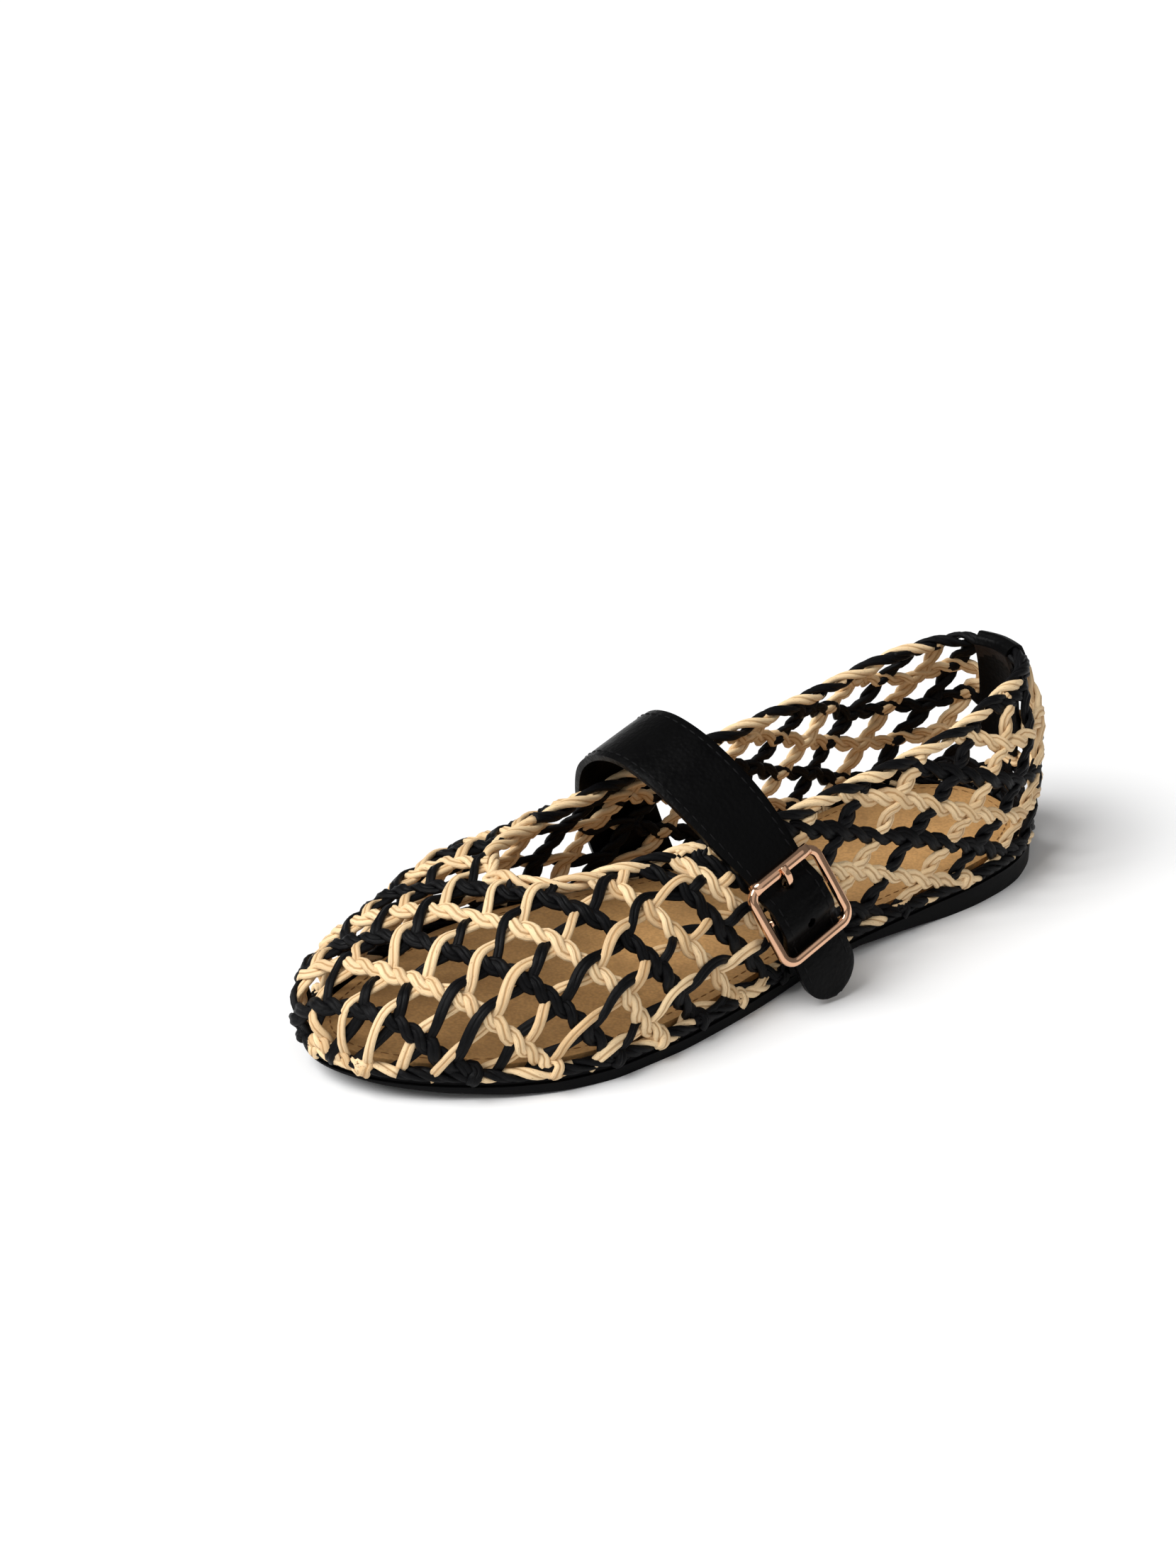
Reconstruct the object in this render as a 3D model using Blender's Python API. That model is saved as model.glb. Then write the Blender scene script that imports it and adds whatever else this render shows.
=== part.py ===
"""Openwork raffia flat with one leather strap, left shoe, as separate solids.

The toe points along -Y, the outer (lateral, buckle) side faces +X and the sole stands on Z = 0.
The origin is on the floor under the middle of the forefoot.
Lengths in the tables are millimetres.  A station s runs from the heel end (0) to the toe end (1).
A girth value a runs from the inner feather edge (-1) over the ridge (0) to the outer one (+1).
"""
import math

import bmesh
import bpy
import numpy as np

MM = 0.001

# Overall sizes
SOLE_LENGTH = 238.0
HEEL_END_Y = 154.5
FIT_GAP = 0.3

# Sole stack
MIDSOLE_THICK = 1.5
INSOLE_THICK = 1.8
INSOLE_MARGIN = 4.6
OUTSOLE_CHAMFER = 0.9
OUTSOLE_PROUD = 0.6

# Openwork upper
FEATHER_INSET = 1.2
HEEL_FAN_STATION = 0.17
HEEL_FAN_BLEND = 0.12
AXIS_SHARE = 0.3
SECTION_ROUND = 0.85
SECTION_RISE = 0.92
TOE_PUSH = 3.2
TOE_PUSH_START = 0.88
TOE_PUSH_FULL = 0.985
TOE_PUSH_HEIGHT = 19.0
CELL_DOWN = (6.3, 10.8)
CELL_BACK = (13.5, -0.3)
CELL_ORIGIN = (4.0, 1.5)
QUARTER_START = 95.0
QUARTER_STRETCH = 1.34
STRIP_HALF = 1.55
RIM_WIDTH = 2.7
CROWN_OUT = 1.4
CROWN_IN = 1.2
STRIP_EDGE = 0.85
BACK_BAND = 8.6
BAND_ROWS = 7
TOE_END = 0.15
SEAM_END = 0.02
RIM_LIFT = 0.1
CORE_HEIGHT = 16.0
CORE_STATION = 0.9
SHORTEST_SIDE = 3.6
SMALLEST_HOLE = 30.0

# Strap and buckle
STRAP_THICK = 1.8
STRAP_HALF_BUCKLE = 8.4
STRAP_SLANT = 20.8
STRAP_FOOT_Y = 45.5
CHAPE_THICK = 1.2
CHAPE_HALF = 6.6
BUCKLE_WIDE = 22.6
BUCKLE_TALL = 22.4
BUCKLE_ROD = 1.3
BUCKLE_CORNER = 3.4
BAR_RADIUS = 0.95
PRONG_RADIUS = 0.8

# Heel tab
TAB_HALF = 7.8
TAB_THICK = 1.1
TAB_OUTSIDE = 19.0
TAB_INSIDE = 34.0
TAB_CLEAR = 0.65
TAB_RISE = 1.5
TAB_TOP = 2.3
TAB_COLUMNS = 7

# Station table of the last: half widths, feather height, ridge height, swell of the side
LAST_COLUMNS = ("s", "lateral", "medial", "base", "ridge", "swell")
LAST_TABLE = (
    (0.000, 0.0, 0.0, 8.6, 78.0, 5.5),
    (0.015, 14.0, 13.0, 8.6, 76.0, 5.5),
    (0.040, 21.5, 19.5, 8.6, 69.5, 5.5),
    (0.070, 26.3, 23.8, 8.6, 65.0, 5.5),
    (0.100, 29.6, 26.2, 8.5, 63.2, 5.2),
    (0.140, 31.9, 27.4, 8.4, 62.4, 4.5),
    (0.200, 33.2, 27.5, 8.0, 62.6, 3.5),
    (0.280, 33.0, 26.4, 7.2, 62.6, 2.6),
    (0.360, 33.2, 26.0, 6.4, 61.0, 2.2),
    (0.440, 34.9, 28.2, 5.8, 57.5, 2.0),
    (0.520, 38.0, 32.8, 5.3, 51.2, 1.8),
    (0.600, 41.2, 38.0, 5.0, 45.6, 1.6),
    (0.680, 43.2, 41.4, 5.0, 42.8, 1.5),
    (0.740, 43.3, 41.5, 5.0, 41.2, 1.5),
    (0.800, 41.0, 39.0, 5.1, 38.8, 1.7),
    (0.860, 35.3, 34.6, 5.5, 35.0, 2.2),
    (0.900, 29.6, 30.4, 6.0, 31.8, 2.6),
    (0.940, 22.6, 25.2, 6.7, 27.8, 3.2),
    (0.970, 15.4, 19.3, 7.3, 23.5, 3.6),
    (0.990, 7.6, 12.0, 7.8, 18.6, 4.0),
    (1.000, -2.2, 2.2, 8.0, 9.0, 4.2),
)

# Underside of the outsole, as station and height: heel seat, raised waist, flat forefoot, toe spring
GROUND_TABLE = (
    (0.000, 0.0), (0.200, 0.0), (0.225, 0.0), (0.300, 1.2), (0.370, 2.2), (0.450, 1.2),
    (0.535, 0.0), (0.560, 0.0), (0.760, 0.0), (0.800, 0.3), (0.860, 1.2), (0.920, 2.6),
    (0.970, 4.3), (1.000, 5.4),
)

# Topline, as station and height, from the heel to the front of the throat
TOPLINE_TABLE = (
    (0.000, 58.6), (0.050, 56.4), (0.120, 54.6), (0.220, 50.6), (0.300, 48.2), (0.400, 46.0),
    (0.500, 43.8), (0.600, 41.9), (0.700, 40.6), (0.760, 40.2), (0.792, 40.2), (1.000, 40.2),
)

# Strap in its own slanted plane, from the inner sole edge over the foot to the buckle:
# across the foot, up the slant, half width, splay of the band's rear edge
STRAP_TABLE = (
    (-31.4, 5.5, 10.6, 0.24),
    (-32.2, 12.0, 10.6, 0.23),
    (-32.9, 22.0, 10.6, 0.25),
    (-32.2, 33.0, 10.6, 0.24),
    (-29.4, 45.0, 10.6, 0.15),
    (-23.8, 56.0, 10.6, 0.06),
    (-15.0, 63.4, 10.6, 0.0),
    (-5.0, 66.4, 10.6, 0.0),
    (6.0, 65.0, 10.6, 0.0),
    (16.2, 60.2, 10.6, 0.0),
    (24.8, 53.8, 10.4, 0.0),
    (31.4, 47.4, 9.6, 0.0),
)

# Free end of the strap below the buckle: step across, step down, half width
STRAP_TAIL = (
    (1.2, 4.4, 8.4),
    (2.0, 8.8, 8.4),
    (2.5, 12.6, 7.7),
    (2.75, 15.0, 6.2),
    (2.9, 16.6, 3.4),
)

# Short strap under the buckle, from the outer sole edge up: across, up, half width, splay
CHAPE_TABLE = (
    (37.4, 5.5, 6.6, -0.12),
    (38.0, 12.0, 6.6, -0.14),
    (38.3, 18.0, 6.6, -0.12),
    (38.5, 24.0, 6.6, -0.06),
)
FOOT_LEVEL = 5.3
CHAPE_TURN = (-90.0, -55.0, -20.0, 15.0, 50.0, 85.0)
CHAPE_END = 3.0

# Buckle frame: middle of its plane and its lean, as seen along the strap's width
BUCKLE_MID = (43.2, 30.8)
BUCKLE_LEAN = 20.2
BAR_OUT = -2.6
PRONG_DOWN = -7.0
PRONG_HOLE_DOWN = -7.2
SPARE_HOLE_DOWN = 5.2
HOLE_RADIUS = 1.25


def slopes(xs, ys):
    """Slopes of a shape keeping cubic through the points."""
    h = np.diff(xs)
    d = np.diff(ys) / h
    m = np.zeros(len(xs))
    m[0], m[-1] = d[0], d[-1]
    for i in range(1, len(xs) - 1):
        if d[i - 1] * d[i] > 0.0:
            w1 = 2.0 * h[i] + h[i - 1]
            w2 = h[i] + 2.0 * h[i - 1]
            m[i] = (w1 + w2) / (w1 / d[i - 1] + w2 / d[i])
    return m


def cubic(xs, ys, x):
    """Value of that cubic at x, held flat beyond its ends."""
    xs = np.asarray(xs, float)
    ys = np.asarray(ys, float)
    m = slopes(xs, ys)
    x = np.clip(np.asarray(x, float), xs[0], xs[-1])
    i = np.clip(np.searchsorted(xs, x) - 1, 0, len(xs) - 2)
    h = xs[i + 1] - xs[i]
    t = (x - xs[i]) / h
    a = (1.0 + 2.0 * t) * (1.0 - t) ** 2 * ys[i] + t * (1.0 - t) ** 2 * h * m[i]
    return a + t * t * (3.0 - 2.0 * t) * ys[i + 1] + t * t * (t - 1.0) * h * m[i + 1]


def spread(s):
    """Station turned into an angle, which keeps the rounded ends of the outline smooth."""
    return np.arccos(np.clip(1.0 - 2.0 * np.asarray(s, float), -1.0, 1.0))


LAST = {n: np.array([r[k] for r in LAST_TABLE]) for k, n in enumerate(LAST_COLUMNS)}
LAST_ANGLE = spread(LAST["s"])


def last(name, s):
    return cubic(LAST_ANGLE, LAST[name], spread(s))


def under(s):
    return np.interp(s, [r[0] for r in GROUND_TABLE], [r[1] for r in GROUND_TABLE])


def topline(s):
    return cubic([r[0] for r in TOPLINE_TABLE], [r[1] for r in TOPLINE_TABLE], s)


def station_y(s):
    return HEEL_END_Y - SOLE_LENGTH * np.asarray(s, float)


def plan_normal(s, side):
    """Outward direction of the sole outline, in plan."""
    e = 0.002
    s1, s2 = np.clip(s - e, 0.0, 1.0), np.clip(s + e, 0.0, 1.0)
    grow = {name: last(name, s2) - last(name, s1) for name in ("lateral", "medial")}
    side_x = np.where(side >= 0.0, grow["lateral"], grow["medial"])
    run = SOLE_LENGTH * (s2 - s1)
    size = np.hypot(side_x, run)
    return np.where(side >= 0.0, 1.0, -1.0) * run / size, side_x / size


def wall(s, a):
    """Point on the middle of the upper's wall."""
    s, a = np.broadcast_arrays(np.asarray(s, float), np.asarray(a, float))
    sk = np.maximum(s, HEEL_FAN_STATION)
    axis_x = AXIS_SHARE * (last("lateral", sk) - last("medial", sk))
    edge_x = np.where(a >= 0.0, last("lateral", s), -last("medial", s))
    vx = edge_x - axis_x
    vy = station_y(s) - station_y(sk)
    reach = np.hypot(vx, vy) + 1e-9
    turn = (1.0 - np.abs(a)) * math.pi / 2.0
    c = np.cos(turn) ** SECTION_ROUND
    nx, ny = plan_normal(s, a)
    blend = np.clip((s - HEEL_FAN_STATION) / HEEL_FAN_BLEND, 0.0, 1.0)
    nx = (1.0 - blend) * vx / reach + blend * nx
    ny = (1.0 - blend) * vy / reach + blend * ny
    swell = last("swell", s) * np.sin(2.0 * turn)
    base = last("base", s)
    z = base + (last("ridge", s) - base) * np.sin(turn) ** SECTION_RISE
    toe = np.clip((s - TOE_PUSH_START) / (TOE_PUSH_FULL - TOE_PUSH_START), 0.0, 1.0)
    toe = toe * toe * (3.0 - 2.0 * toe)
    push = TOE_PUSH * toe * np.sin(math.pi * np.clip((z - base) / TOE_PUSH_HEIGHT, 0.0, 1.0))
    x = axis_x + vx * c + nx * (swell - FEATHER_INSET * c)
    y = station_y(sk) + vy * c + ny * (swell * (1.0 - toe) - FEATHER_INSET * c) - push
    return np.stack([x, y, z], -1)


def girth_table(s, side):
    a = np.linspace(0.0, 1.0, 33)
    p = wall(np.full_like(a, s), side * np.maximum(a, 1e-6))
    return a, np.concatenate([[0.0], np.cumsum(np.linalg.norm(np.diff(p, axis=0), axis=1))])


WAY_S = 0.5 + 0.5 * np.cos(np.linspace(0.0, math.pi, 361))
WAY_P = 0.5 * (wall(WAY_S, np.full(361, 0.6)) * np.array([1.0, 1.0, 1.0])
               + wall(WAY_S, np.full(361, -0.6)) * np.array([-1.0, 1.0, 1.0]))
WAY_Q = np.concatenate([[0.0], np.cumsum(np.linalg.norm(np.diff(WAY_P, axis=0), axis=1))])
WAY_END = WAY_Q[-1]


def station_of(q):
    return float(np.interp(q, WAY_Q, WAY_S))


def girth_limits(q, side):
    """Girth from the ridge to the topline and to the feather edge at this length."""
    s = station_of(q)
    a, g = girth_table(s, side)
    z = wall(np.full_like(a, s), side * np.maximum(a, 1e-6))[:, 2]
    top = float(topline(s))
    if z[0] <= top:
        return -1.0, g[-1]
    return float(np.interp(top, z[::-1], g[::-1])), g[-1]


def on_wall(q, g):
    """Point on the wall from the pattern's length q and girth g."""
    s = station_of(q)
    side = 1.0 if g >= 0.0 else -1.0
    a, arc = girth_table(s, side)
    return wall(s, side * max(float(np.interp(abs(g), arc, a)), 1e-6))


def in_pattern(q, g):
    if q < TOE_END or q > WAY_END - BACK_BAND:
        return False
    low, high = girth_limits(q, 1.0 if g >= 0.0 else -1.0)
    return low < abs(g) < high


def normal_at(q, g):
    e = 0.4
    q = min(max(q, 0.9), WAY_END - 0.05)
    du = on_wall(min(q + e, WAY_END - 0.01), g) - on_wall(q - e, g)
    dv = on_wall(q, g + e) - on_wall(q, g - e)
    n = np.cross(dv, du)
    n = n / (np.linalg.norm(n) + 1e-12)
    p = on_wall(q, g)
    s = station_of(q)
    core = np.array([0.0, station_y(np.clip(s, HEEL_FAN_STATION, CORE_STATION)), CORE_HEIGHT])
    return n if np.dot(n, p - core) >= 0.0 else -n


def stretch(x):
    """Pattern length from lattice length: the quarters' cells are a little longer."""
    return x + max(x - QUARTER_START, 0.0) * (QUARTER_STRETCH - 1.0)


def circumcentre(p, q, r):
    d = 2.0 * (p[0] * (q[1] - r[1]) + q[0] * (r[1] - p[1]) + r[0] * (p[1] - q[1]))
    pp, qq, rr = p[0] ** 2 + p[1] ** 2, q[0] ** 2 + q[1] ** 2, r[0] ** 2 + r[1] ** 2
    ux = (pp * (q[1] - r[1]) + qq * (r[1] - p[1]) + rr * (p[1] - q[1])) / d
    uy = (pp * (r[0] - q[0]) + qq * (p[0] - r[0]) + rr * (q[0] - p[0])) / d
    return ux, uy


def lattice():
    """Hexagon cells of the openwork as lists of named nodes, with the nodes' pattern places."""
    ax, ay = CELL_DOWN
    bx, by = CELL_BACK
    up = circumcentre((0.0, 0.0), (ax, ay), (bx, by))
    dn = circumcentre((0.0, 0.0), (bx, by), (bx - ax, by - ay))
    nodes = {}

    def node(kind, i, j):
        key = (kind, i, j)
        if key not in nodes:
            o = up if kind == "u" else dn
            x = CELL_ORIGIN[0] + i * ax + j * bx + o[0]
            y = CELL_ORIGIN[1] + i * ay + j * by + o[1]
            nodes[key] = (stretch(x), y)
        return key

    cells = []
    for i in range(-9, 10):
        for j in range(-8, 28):
            ring = [node("u", i, j), node("d", i, j), node("u", i - 1, j),
                    node("d", i, j - 1), node("u", i, j - 1), node("d", i + 1, j - 1)]
            cells.append(ring)
    return cells, nodes


def cut_cells(cells, nodes):
    """Cells cut to the pattern's edge; edge points are shared by the cells beside them."""
    inside = {k: in_pattern(*v) for k, v in nodes.items()}
    edge = set()

    def cross(k1, k2):
        a, b = sorted((k1, k2))
        key = ("x",) + a + b
        if key in nodes:
            return key
        lo, hi = (a, b) if inside[a] else (b, a)
        p, q = np.array(nodes[lo]), np.array(nodes[hi])
        t0, t1 = 0.0, 1.0
        for _ in range(26):
            t = 0.5 * (t0 + t1)
            if in_pattern(*(p + (q - p) * t)):
                t0 = t
            else:
                t1 = t
        nodes[key] = tuple(p + (q - p) * t0)
        edge.add(key)
        return key

    kept = []
    for ring in cells:
        flags = [inside[k] for k in ring]
        if not any(flags):
            continue
        out = []
        for n1, n2 in zip(ring, ring[1:] + ring[:1]):
            if inside[n1]:
                out.append(n1)
            if inside[n1] != inside[n2]:
                out.append(cross(n1, n2))
        kept.append(corner_nodes(out, nodes, edge))
    return kept, edge


def corner_nodes(ring, nodes, edge):
    """Corner added where a cell is cut both by the back band and by the wall's edge."""
    band_q = WAY_END - BACK_BAND
    out = []
    for n1, n2 in zip(ring, ring[1:] + ring[:1]):
        out.append(n1)
        if n1 in edge and n2 in edge:
            b1, b2 = abs(nodes[n1][0] - band_q) < 0.05, abs(nodes[n2][0] - band_q) < 0.05
            if b1 != b2:
                side = 1.0 if nodes[n1][1] >= 0.0 else -1.0
                low, high = girth_limits(band_q, side)
                g = abs(nodes[n1][1] if b1 else nodes[n2][1])
                top = g - low < high - g
                key = ("corner", side, top)
                nodes[key] = (band_q, side * (low if top else high))
                edge.add(key)
                out.append(key)
    return out


def place(nodes, key):
    q, g = nodes[key]
    return on_wall(q, g)


def merge_short(kept, nodes, edge):
    """Sides shorter than a strip is wide are closed up, edge points keeping their place."""
    root = {}

    def find(k):
        while root.get(k, k) != k:
            k = root[k]
        return k

    where = {}
    for ring in kept:
        for k in ring:
            if k not in where:
                where[k] = place(nodes, k)
    sides = set()
    for ring in kept:
        for a, b in zip(ring, ring[1:] + ring[:1]):
            sides.add(tuple(sorted((a, b))))
    for a, b in sorted(sides, key=lambda e: np.linalg.norm(where[e[0]] - where[e[1]])):
        if np.linalg.norm(where[a] - where[b]) > SHORTEST_SIDE:
            break
        ra, rb = find(a), find(b)
        if ra == rb:
            continue
        if rb in edge and ra not in edge:
            ra, rb = rb, ra
        root[rb] = ra
    out = []
    for ring in kept:
        ring = [find(k) for k in ring]
        ring = [k for n, k in enumerate(ring) if k != ring[n - 1]]
        if len(set(ring)) == len(ring) and len(ring) >= 3:
            out.append(ring)
    return out


def flat_ring(points, normal):
    """Ring in a plane through its middle: two axes and plane coordinates."""
    mid = points.mean(0)
    ex = points[1] - points[0]
    ex = ex - normal * np.dot(ex, normal)
    ex = ex / np.linalg.norm(ex)
    ey = np.cross(normal, ex)
    rel = points - mid
    return mid, ex, ey, np.stack([rel @ ex, rel @ ey], -1)


def ring_area(pts):
    x, y = pts[:, 0], pts[:, 1]
    return 0.5 * float(np.sum(x * np.roll(y, -1) - np.roll(x, -1) * y))


def inset(pts, widths):
    """Ring moved inward, each side by its own width; None when no room is left."""
    n = len(pts)
    sign = 1.0 if ring_area(pts) > 0.0 else -1.0
    lines = []
    for k in range(n):
        a, b = pts[k], pts[(k + 1) % n]
        d = (b - a) / (np.linalg.norm(b - a) + 1e-12)
        nrm = sign * np.array([-d[1], d[0]])
        lines.append((a + nrm * widths[k], d, nrm))
    out = []
    for k in range(n):
        p1, d1, n1 = lines[k - 1]
        p2, d2, n2 = lines[k]
        det = d1[0] * d2[1] - d1[1] * d2[0]
        if abs(det) < 0.12:
            q = pts[k] + 0.5 * (n1 * widths[k - 1] + n2 * widths[k])
        else:
            t = ((p2[0] - p1[0]) * d2[1] - (p2[1] - p1[1]) * d2[0]) / det
            q = p1 + d1 * t
        out.append(q)
    out = np.array(out)
    for k in range(n):
        a, b = pts[k], pts[(k + 1) % n]
        if np.dot(out[(k + 1) % n] - out[k], b - a) <= 0.15:
            return None
    if ring_area(out) * sign < SMALLEST_HOLE * 0.5:
        return None
    return out


def back_cells(kept, nodes, edge):
    """Closed band at the back of the heel, as small plates to each side of the centre line."""
    band_q = WAY_END - BACK_BAND
    plates = []
    seam = []
    low, high = girth_limits(WAY_END - SEAM_END, 1.0)
    for k in range(BAND_ROWS):
        key = ("seam", k, 0)
        nodes[key] = (WAY_END - SEAM_END, low + (high - low) * k / (BAND_ROWS - 1.0))
        seam.append(key)
    used = set(k for ring in kept for k in ring)
    for side in (1.0, -1.0):
        mid = []
        low, high = girth_limits(WAY_END - 0.5 * BACK_BAND, side)
        for k in range(BAND_ROWS):
            key = ("mid", k, side)
            g = low + (high - low) * k / (BAND_ROWS - 1.0)
            nodes[key] = (WAY_END - 0.5 * BACK_BAND, side * g)
            mid.append(key)
        on_band = [k for k in used if k in edge and abs(nodes[k][0] - band_q) < 0.05]
        line = [k for k in on_band if nodes[k][1] * side > 0.0]
        line.sort(key=lambda k: abs(nodes[k][1]))
        plates += zipped(line, mid, nodes)
        plates += zipped(mid, seam, nodes)
    return plates


def zipped(line1, line2, nodes):
    """Triangles between two lines of nodes that run from the topline down."""
    def share(line, k):
        g = [abs(nodes[n][1]) for n in line]
        return (g[k] - g[0]) / (g[-1] - g[0])
    out = []
    i = j = 0
    while i < len(line1) - 1 or j < len(line2) - 1:
        step1 = share(line1, i + 1) if i < len(line1) - 1 else 9.0
        step2 = share(line2, j + 1) if j < len(line2) - 1 else 9.0
        if step1 <= step2:
            out.append([line1[i], line1[i + 1], line2[j]])
            i += 1
        else:
            out.append([line1[i], line2[j + 1], line2[j]])
            j += 1
    return out


def new_mesh(name, verts, faces, mat, collection):
    mesh = bpy.data.meshes.new(name)
    mesh.from_pydata([tuple(float(c) * MM for c in v) for v in verts], [], [tuple(f) for f in faces])
    bm = bmesh.new()
    bm.from_mesh(mesh)
    bmesh.ops.recalc_face_normals(bm, faces=bm.faces)
    if bm.calc_volume(signed=True) < 0.0:
        bmesh.ops.reverse_faces(bm, faces=bm.faces)
    bm.to_mesh(mesh)
    bm.free()
    mesh.update()
    obj = bpy.data.objects.new(name, mesh)
    obj.data.materials.append(mat)
    collection.objects.link(obj)
    return obj


def material(name, rgb, rough, metal=0.0):
    mat = bpy.data.materials.new(name)
    mat.use_nodes = True
    bsdf = mat.node_tree.nodes["Principled BSDF"]
    bsdf.inputs["Base Color"].default_value = (rgb[0], rgb[1], rgb[2], 1.0)
    bsdf.inputs["Roughness"].default_value = rough
    bsdf.inputs["Metallic"].default_value = metal
    mat.diffuse_color = (rgb[0], rgb[1], rgb[2], 1.0)
    return mat


def upper(mat, collection):
    """The openwork wall: one shell, a hole in every cell, its strips raised to a crown."""
    cells, nodes = lattice()
    kept, edge = cut_cells(cells, nodes)
    kept = merge_short(kept, nodes, edge)
    plates = back_cells(kept, nodes, edge)
    used = []
    for ring in kept + plates:
        used += ring
    used = list(dict.fromkeys(used))
    verts = []
    outer, inner, where, norms = {}, {}, {}, {}
    for k in used:
        q, g = nodes[k]
        p, n = on_wall(q, g), normal_at(q, g)
        if abs(abs(g) - girth_limits(q, 1.0 if g >= 0.0 else -1.0)[1]) < 0.3:
            n = np.array([n[0], n[1], 0.0]) / math.hypot(n[0], n[1])
            p = p + np.array([0.0, 0.0, RIM_LIFT])
        where[k], norms[k] = p, n
        outer[k] = len(verts)
        verts.append(p + n * CROWN_OUT)
        inner[k] = len(verts)
        verts.append(p - n * CROWN_IN)
    count = {}
    for ring in kept + plates:
        for a, b in zip(ring, ring[1:] + ring[:1]):
            count[frozenset((a, b))] = count.get(frozenset((a, b)), 0) + 1
    rings = kept + plates
    faces = []
    for ring in kept:
        pts = np.array([where[k] for k in ring])
        n = sum(norms[k] for k in ring)
        n = n / np.linalg.norm(n)
        mid, ex, ey, flat = flat_ring(pts, n)
        m = len(ring)
        widths = []
        for k in range(m):
            lone = count[frozenset((ring[k], ring[(k + 1) % m]))] == 1
            widths.append(RIM_WIDTH if lone else STRIP_HALF)
        hole = inset(flat, widths)
        if hole is None or abs(ring_area(flat)) < SMALLEST_HOLE:
            plates.append(ring)
            continue
        first = len(verts)
        lift = (pts - mid) @ n
        for k in range(m):
            p = mid + ex * hole[k][0] + ey * hole[k][1] + n * lift[k] * 0.8
            verts.append(p + n * STRIP_EDGE)
            verts.append(p - n * STRIP_EDGE)
        for k in range(m):
            k2 = (k + 1) % m
            o1, o2 = first + 2 * k, first + 2 * k2
            faces.append((outer[ring[k]], outer[ring[k2]], o2, o1))
            faces.append((inner[ring[k2]], inner[ring[k]], o1 + 1, o2 + 1))
            faces.append((o1, o2, o2 + 1, o1 + 1))
    for ring in plates:
        faces.append([outer[k] for k in ring])
        faces.append([inner[k] for k in ring[::-1]])
    for ring in rings:
        for a, b in zip(ring, ring[1:] + ring[:1]):
            if count[frozenset((a, b))] == 1:
                faces.append((outer[a], inner[a], inner[b], outer[b]))
    return new_mesh("upper", verts, faces, mat, collection)


def outline(margin, count=44):
    """Sole outline as pairs of lateral and medial points, moved inward by a margin."""
    ss = 0.5 - 0.5 * np.cos(np.linspace(0.0, math.pi, count))
    lat = np.stack([last("lateral", ss), station_y(ss)], -1)
    med = np.stack([-last("medial", ss), station_y(ss)], -1)
    ring = np.concatenate([lat, med[::-1][1:-1]])
    nxt, prv = np.roll(ring, -1, axis=0), np.roll(ring, 1, axis=0)
    t = nxt - prv
    t = t / np.linalg.norm(t, axis=1)[:, None]
    nrm = np.stack([t[:, 1], -t[:, 0]], -1)
    c = ring.mean(0)
    if np.sum((ring - c) * nrm) < 0.0:
        nrm = -nrm
    ring = ring - nrm * margin
    lat2 = ring[:count]
    med2 = np.concatenate([ring[:1], ring[count:][::-1], ring[count - 1:count]])
    return ss, lat2, med2


def station_at(y):
    return np.clip((HEEL_END_Y - y) / SOLE_LENGTH, 0.0, 1.0)


def layered(name, layers, mat, collection):
    """Solid between outlines stacked from below: each layer is a margin and a height rule."""
    verts, faces = [], []
    rings = []
    for margin, height in layers:
        ss, lat, med = outline(margin)
        n = len(ss)
        for k in range(n):
            verts.append((lat[k][0], lat[k][1], float(height(station_at(lat[k][1])))))
        lat_ids = list(range(len(verts) - n, len(verts)))
        med_ids = [lat_ids[0]]
        for k in range(1, n - 1):
            med_ids.append(len(verts))
            verts.append((med[k][0], med[k][1], float(height(station_at(med[k][1])))))
        med_ids.append(lat_ids[-1])
        rings.append((lat_ids, med_ids))
    for (l1, m1), (l2, m2) in zip(rings, rings[1:]):
        for k in range(len(l1) - 1):
            faces.append((l1[k], l1[k + 1], l2[k + 1], l2[k]))
            faces.append((m1[k + 1], m1[k], m2[k], m2[k + 1]))
    for (l1, m1), flip in ((rings[0], False), (rings[-1], True)):
        for k in range(len(l1) - 1):
            f = [l1[k], l1[k + 1], m1[k + 1], m1[k]]
            f = list(dict.fromkeys(f))
            faces.append(f[::-1] if flip else f)
    return new_mesh(name, verts, faces, mat, collection)


def strap_point(across, up, along=0.0):
    """Place in the strap's slanted plane; along runs back across the strap's width."""
    t = math.radians(STRAP_SLANT)
    y = STRAP_FOOT_Y - math.sin(t) * up + math.cos(t) * along
    z = math.cos(t) * up + math.sin(t) * along
    return np.array([across, y, z])


def ribbon(name, path, thick, mat, collection):
    """Band of leather along a path of (across, up, half width, splay) rows, its foot cut level."""
    path = np.asarray(path, float)
    n = len(path)
    tan = np.gradient(path[:, :2], axis=0)
    tan = tan / np.linalg.norm(tan, axis=1)[:, None]
    nrm = np.stack([-tan[:, 1], tan[:, 0]], -1)
    verts, faces = [], []
    slant = math.radians(STRAP_SLANT)
    for k in range(n):
        h = path[k, 2]
        for off, w in ((0.5, -h), (0.5, h), (-0.5, h), (-0.5, -h)):
            across, up = path[k, :2] + nrm[k] * off * thick
            if k == 0:
                up = (FOOT_LEVEL - math.sin(slant) * w) / math.cos(slant)
            verts.append(strap_point(across + path[k, 3] * w, up, w))
    for k in range(n - 1):
        for e in range(4):
            e2 = (e + 1) % 4
            faces.append((4 * k + e, 4 * k + e2, 4 * k + 4 + e2, 4 * k + 4 + e))
    faces.append((0, 1, 2, 3))
    m = 4 * (n - 1)
    faces.append((m + 3, m + 2, m + 1, m))
    return new_mesh(name, verts, faces, mat, collection)


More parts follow.
